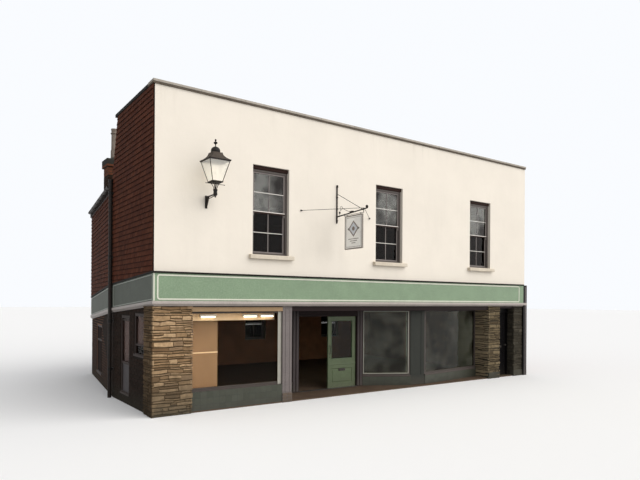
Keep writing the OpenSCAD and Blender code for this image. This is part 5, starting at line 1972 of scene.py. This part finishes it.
def build_sign_iron():
    x = SIGN_X

    def on_arm(out, above=0.0):
        """A point over or under the arm, at a distance from the wall."""
        return Vector((x, -out, arm_height(out) + above))

    metal = [batten("back_bar", (x - 0.018, -0.012, 4.44), (x + 0.018, 0.0, 5.42)), rod("wall_bar",
        (x, -0.022, 4.455), (x, -0.022, 5.385), 0.014, 16), ball("top_ball", (x, -0.022, 5.402), 0.028),
        ball("foot_ball", (x, -0.022, 4.462), 0.018)]
    for z in (4.5, 4.8, 5.1, 5.36):
        metal.append(batten("clip", (x - 0.022, -0.04, z), (x + 0.022, 0.0, z + 0.022), 0.003))
    start, end = Vector((x, -0.01, ARM_Z)), on_arm(1.2)
    metal.append(smooth(drawn_out("arm", start, 0.016, (end - start).normalized(), 14,
        push(end - start), bend(math.radians(250), end + Z * 0.03, -X, 14))))
    metal += [ball("curl_end", (x, -1.195, arm_height(1.2) + 0.038), 0.028, 12), ball("arm_collar",
        on_arm(1.04), 0.022, 12), rod("tie", (x, -0.02, 5.2), on_arm(1.035, 0.006), 0.007),
        batten("stay_collar", on_arm(STAY_OUT, -0.017) - Vector((0.015, 0.015, 0)), on_arm(STAY_OUT,
        0.016) + Vector((0.015, 0.015, 0)), 0.003), loop("scroll", (x, -0.195, 4.815), 0.045, 0.0045,
        X), smooth(drawn_out("scroll_stem", (x, -0.195, 4.77), 0.0045, Y, 10, bend(math.radians(70),
        (x, -0.195, 4.705), -X, 5))), ball("scroll_ball", (x, -0.132, 4.703), 0.026), rod("ball_stem",
        (x, -0.132, 4.7), on_arm(0.132), 0.006), bar_along("leaf_stem", [(x, -0.245, 4.805),
        (x, -0.36, 4.75), (x, -0.48, 4.7), (x, -0.64, 4.668)], 0.006)]
    leaf = moved(ball("leaf", (0, 0, 0), 0.03, 14), Matrix.Diagonal((0.35, 3.2, 0.75, 1)))
    metal.append(moved(leaf, Matrix.Translation((x, -0.62, 4.67))))
    for out in (-BOARD_NEAR - 0.03, -BOARD_FAR + 0.03):
        metal.append(batten("hanger", (x - 0.007, -out - 0.006, PIN_Z - 0.012), on_arm(out, -0.004)
            + Vector((0.007, 0.006, 0)), 0.002))
    metal.append(rod("pin", (x, BOARD_NEAR + 0.036, PIN_Z), (x, BOARD_FAR - 0.036, PIN_Z), 0.006))
    dress(join(metal, "sign_iron_bracket"), "cast_iron", replaces="sign_bracket")
    stays = []
    for side in (-1, 1):
        anchor = Vector((x + side * 1.1, -0.012, ARM_Z + 0.06))
        stays += [rod("stay", on_arm(STAY_OUT, 0.0233), anchor, 0.0055, 10), batten("anchor",
            anchor + Vector((-0.02, -0.008, -0.018)), anchor + Vector((0.02, 0.012, 0.018)), 0.003),
            ball("stay_end", anchor + Vector((-side * 0.02, -0.012, 0)), 0.012, 10)]
    dress(join(stays, "sign_stay_rods"), "cast_iron", replaces="sign_stays")


def build_sign_board():
    x = SIGN_X
    low, high = Vector((x, BOARD_FAR, BOARD_BOTTOM)), Vector((x, BOARD_NEAR, BOARD_TOP))
    face = batten("sign_face", low + Vector((-0.012, 0.02, 0.02)), high + Vector((0.012, -0.02, -0.02)),
        0.002)
    dress(face, "sign_paint", replaces="sign_board", body="sign_board")
    rim = [ring("sign_rim", low - X * 0.02, high + X * 0.02, 0.028, "X", 0.006)]
    for y in (BOARD_NEAR - 0.09, BOARD_FAR + 0.09):
        rim.append(loop("eye", (x, y, PIN_Z), 0.0115, 0.0042, Y, 8, 24))
        rim.append(rod("eye_stem", (x, y, BOARD_TOP - 0.01), (x, y, PIN_Z - 0.0115), 0.0045))
    dress(join(rim, "sign_rim_and_eyes"), "sign_frame", "sign_paint", body="sign_board")
    middle, span = (low.y + high.y) / 2, high.z - low.z
    mark_z = high.z - span * 0.4
    marks, bars, pale = [], [], []
    for side in (-1, 1):
        skin = x + side * 0.0115

        def plate(name, y, half, sides, thickness=0.0025):
            flat = drawn_out(name, (0, 0, 0), half, Z, sides, push(Z * thickness))
            turn = Z.rotation_difference(X * side).to_matrix().to_4x4()
            return moved(flat, Matrix.Translation((skin, y, mark_z)) @ turn)

        def spread(thickness, y0, z0, y1, z1):
            """The corners of a raised mark on this side of the board."""
            faces = sorted((skin, skin + side * thickness))
            return (faces[0], y0, z0), (faces[1], y1, z1)

        marks.append(plate("lozenge", middle, 0.2, 4))
        pale.append(plate("lozenge_field", middle, 0.155, 4, 0.004))
        marks.append(plate("disc", middle, 0.052, 24, 0.0055))
        bars += [plate("stud", middle + offset, 0.026, 20) for offset in (-0.2, 0.2)]
        for level, half in ((0.7, 0.2), (0.76, 0.14), (0.82, 0.08)):
            z = high.z - span * level
            bars.append(batten("line", *spread(0.0025, middle - half, z - 0.008, middle + half,
                z + 0.008), 0.001))
        bars.append(ring("inner_line", *spread(0.002, low.y + 0.055, low.z + 0.055, high.y - 0.055,
            high.z - 0.055), 0.008, "X", 0.0006))
    for parts, name, finish in ((marks, "sign_marks", "sign_dark"), (pale, "sign_mark_fields",
            "sign_pale"), (bars, "sign_lines", "sign_frame")):
        dress(join(parts, name), finish, "sign_paint", body="sign_board")


# Chimney pot, rainwater pipes and their brackets

def build_chimney_top():
    low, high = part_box("chimney_pot")
    x, y = (low.x + high.x) / 2, (low.y + high.y) / 2
    tall = high.z - low.z
    pot = turned("clay_pot", (x, y, low.z), [(0.108, 0.0), (0.108, 0.3), (0.094, 0.33),
        (0.09, tall - 0.16), (0.108, tall - 0.15), (0.112, tall - 0.14), (0.112, tall - 0.125),
        (0.092, tall - 0.11), (0.094, tall - 0.05), (0.102, tall - 0.02), (0.102, tall), (0.084, tall),
        (0.076, tall - 0.02), (0.072, 0.04)], 32)
    dress(pot, "clay_pot", replaces="chimney_pot")
    flaunch = turned("mortar_flaunching", (x, y, low.z), [(0.24, 0.0), (0.23, 0.014), (0.16, 0.055),
        (0.112, 0.08)], 24)
    dress(flaunch, "chimney_cement", "red_brick")


def build_rainwater():
    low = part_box("lane_downpipe")[0]
    x = low.x + 0.045
    y = block_depth - 0.07
    parts = [turned("socket", (x, y, z), [(0.046, 0.0), (0.054, 0.004), (0.054, 0.016), (0.051, 0.022),
        (0.051, 0.085), (0.055, 0.092), (0.055, 0.108), (0.046, 0.112)]) for z in (0.66, 1.86, 3.46,
        5.06)]
    for z, back, front in ((0.7, -0.018, -0.002), (1.9, -0.018, -0.002), (3.5, -0.058, -0.045),
            (5.1, -0.058, -0.045)):
        parts.append(batten("ear", (back, y - 0.085, z - 0.005), (front, y + 0.085, z + 0.045)))
    parts.append(turned("pipe_head", (x, y, 5.4), [(0.046, -0.06), (0.05, -0.03), (0.054, 0.0),
        (0.055, 0.05), (0.055, 0.06), (0.049, 0.06), (0.047, 0.02)]))
    parts.append(drawn_out("shoe", (x, y, 0.16), 0.046, -Z, 20, push(-Z * 0.1)))
    dress(join(parts, "downpipe_sockets"), "cast_iron")
    place = place_along((0, block_depth, 0), rear_lane_way)
    brackets = []
    length, out = rear_y - block_depth, -lane_overhang
    for n in range(6):
        at = -length + 0.45 + n * 0.82
        brackets += [batten("bracket", (at, out - 0.104, eaves_z - 0.118), (at + 0.025, out + 0.01,
            eaves_z - 0.109), 0.003), batten("bracket", (at, out - 0.107, eaves_z - 0.115), (at + 0.025,
            out - 0.1, eaves_z - 0.058), 0.002)]
    dress(moved(join(brackets, "gutter_brackets"), place), "cast_iron")
    eaves = batten("eaves_board", (-length - 0.15, out + 0.002, eaves_z - 0.2), (-0.06, out + 0.02,
        eaves_z - 0.02))
    dress(moved(eaves, place), "dark_paint")


paint("sign_pale", (0.62, 0.64, 0.68), 0.45, 0.2, 0.2)

build_lantern()
build_sign_iron()
build_sign_board()
build_chimney_top()
build_rainwater()
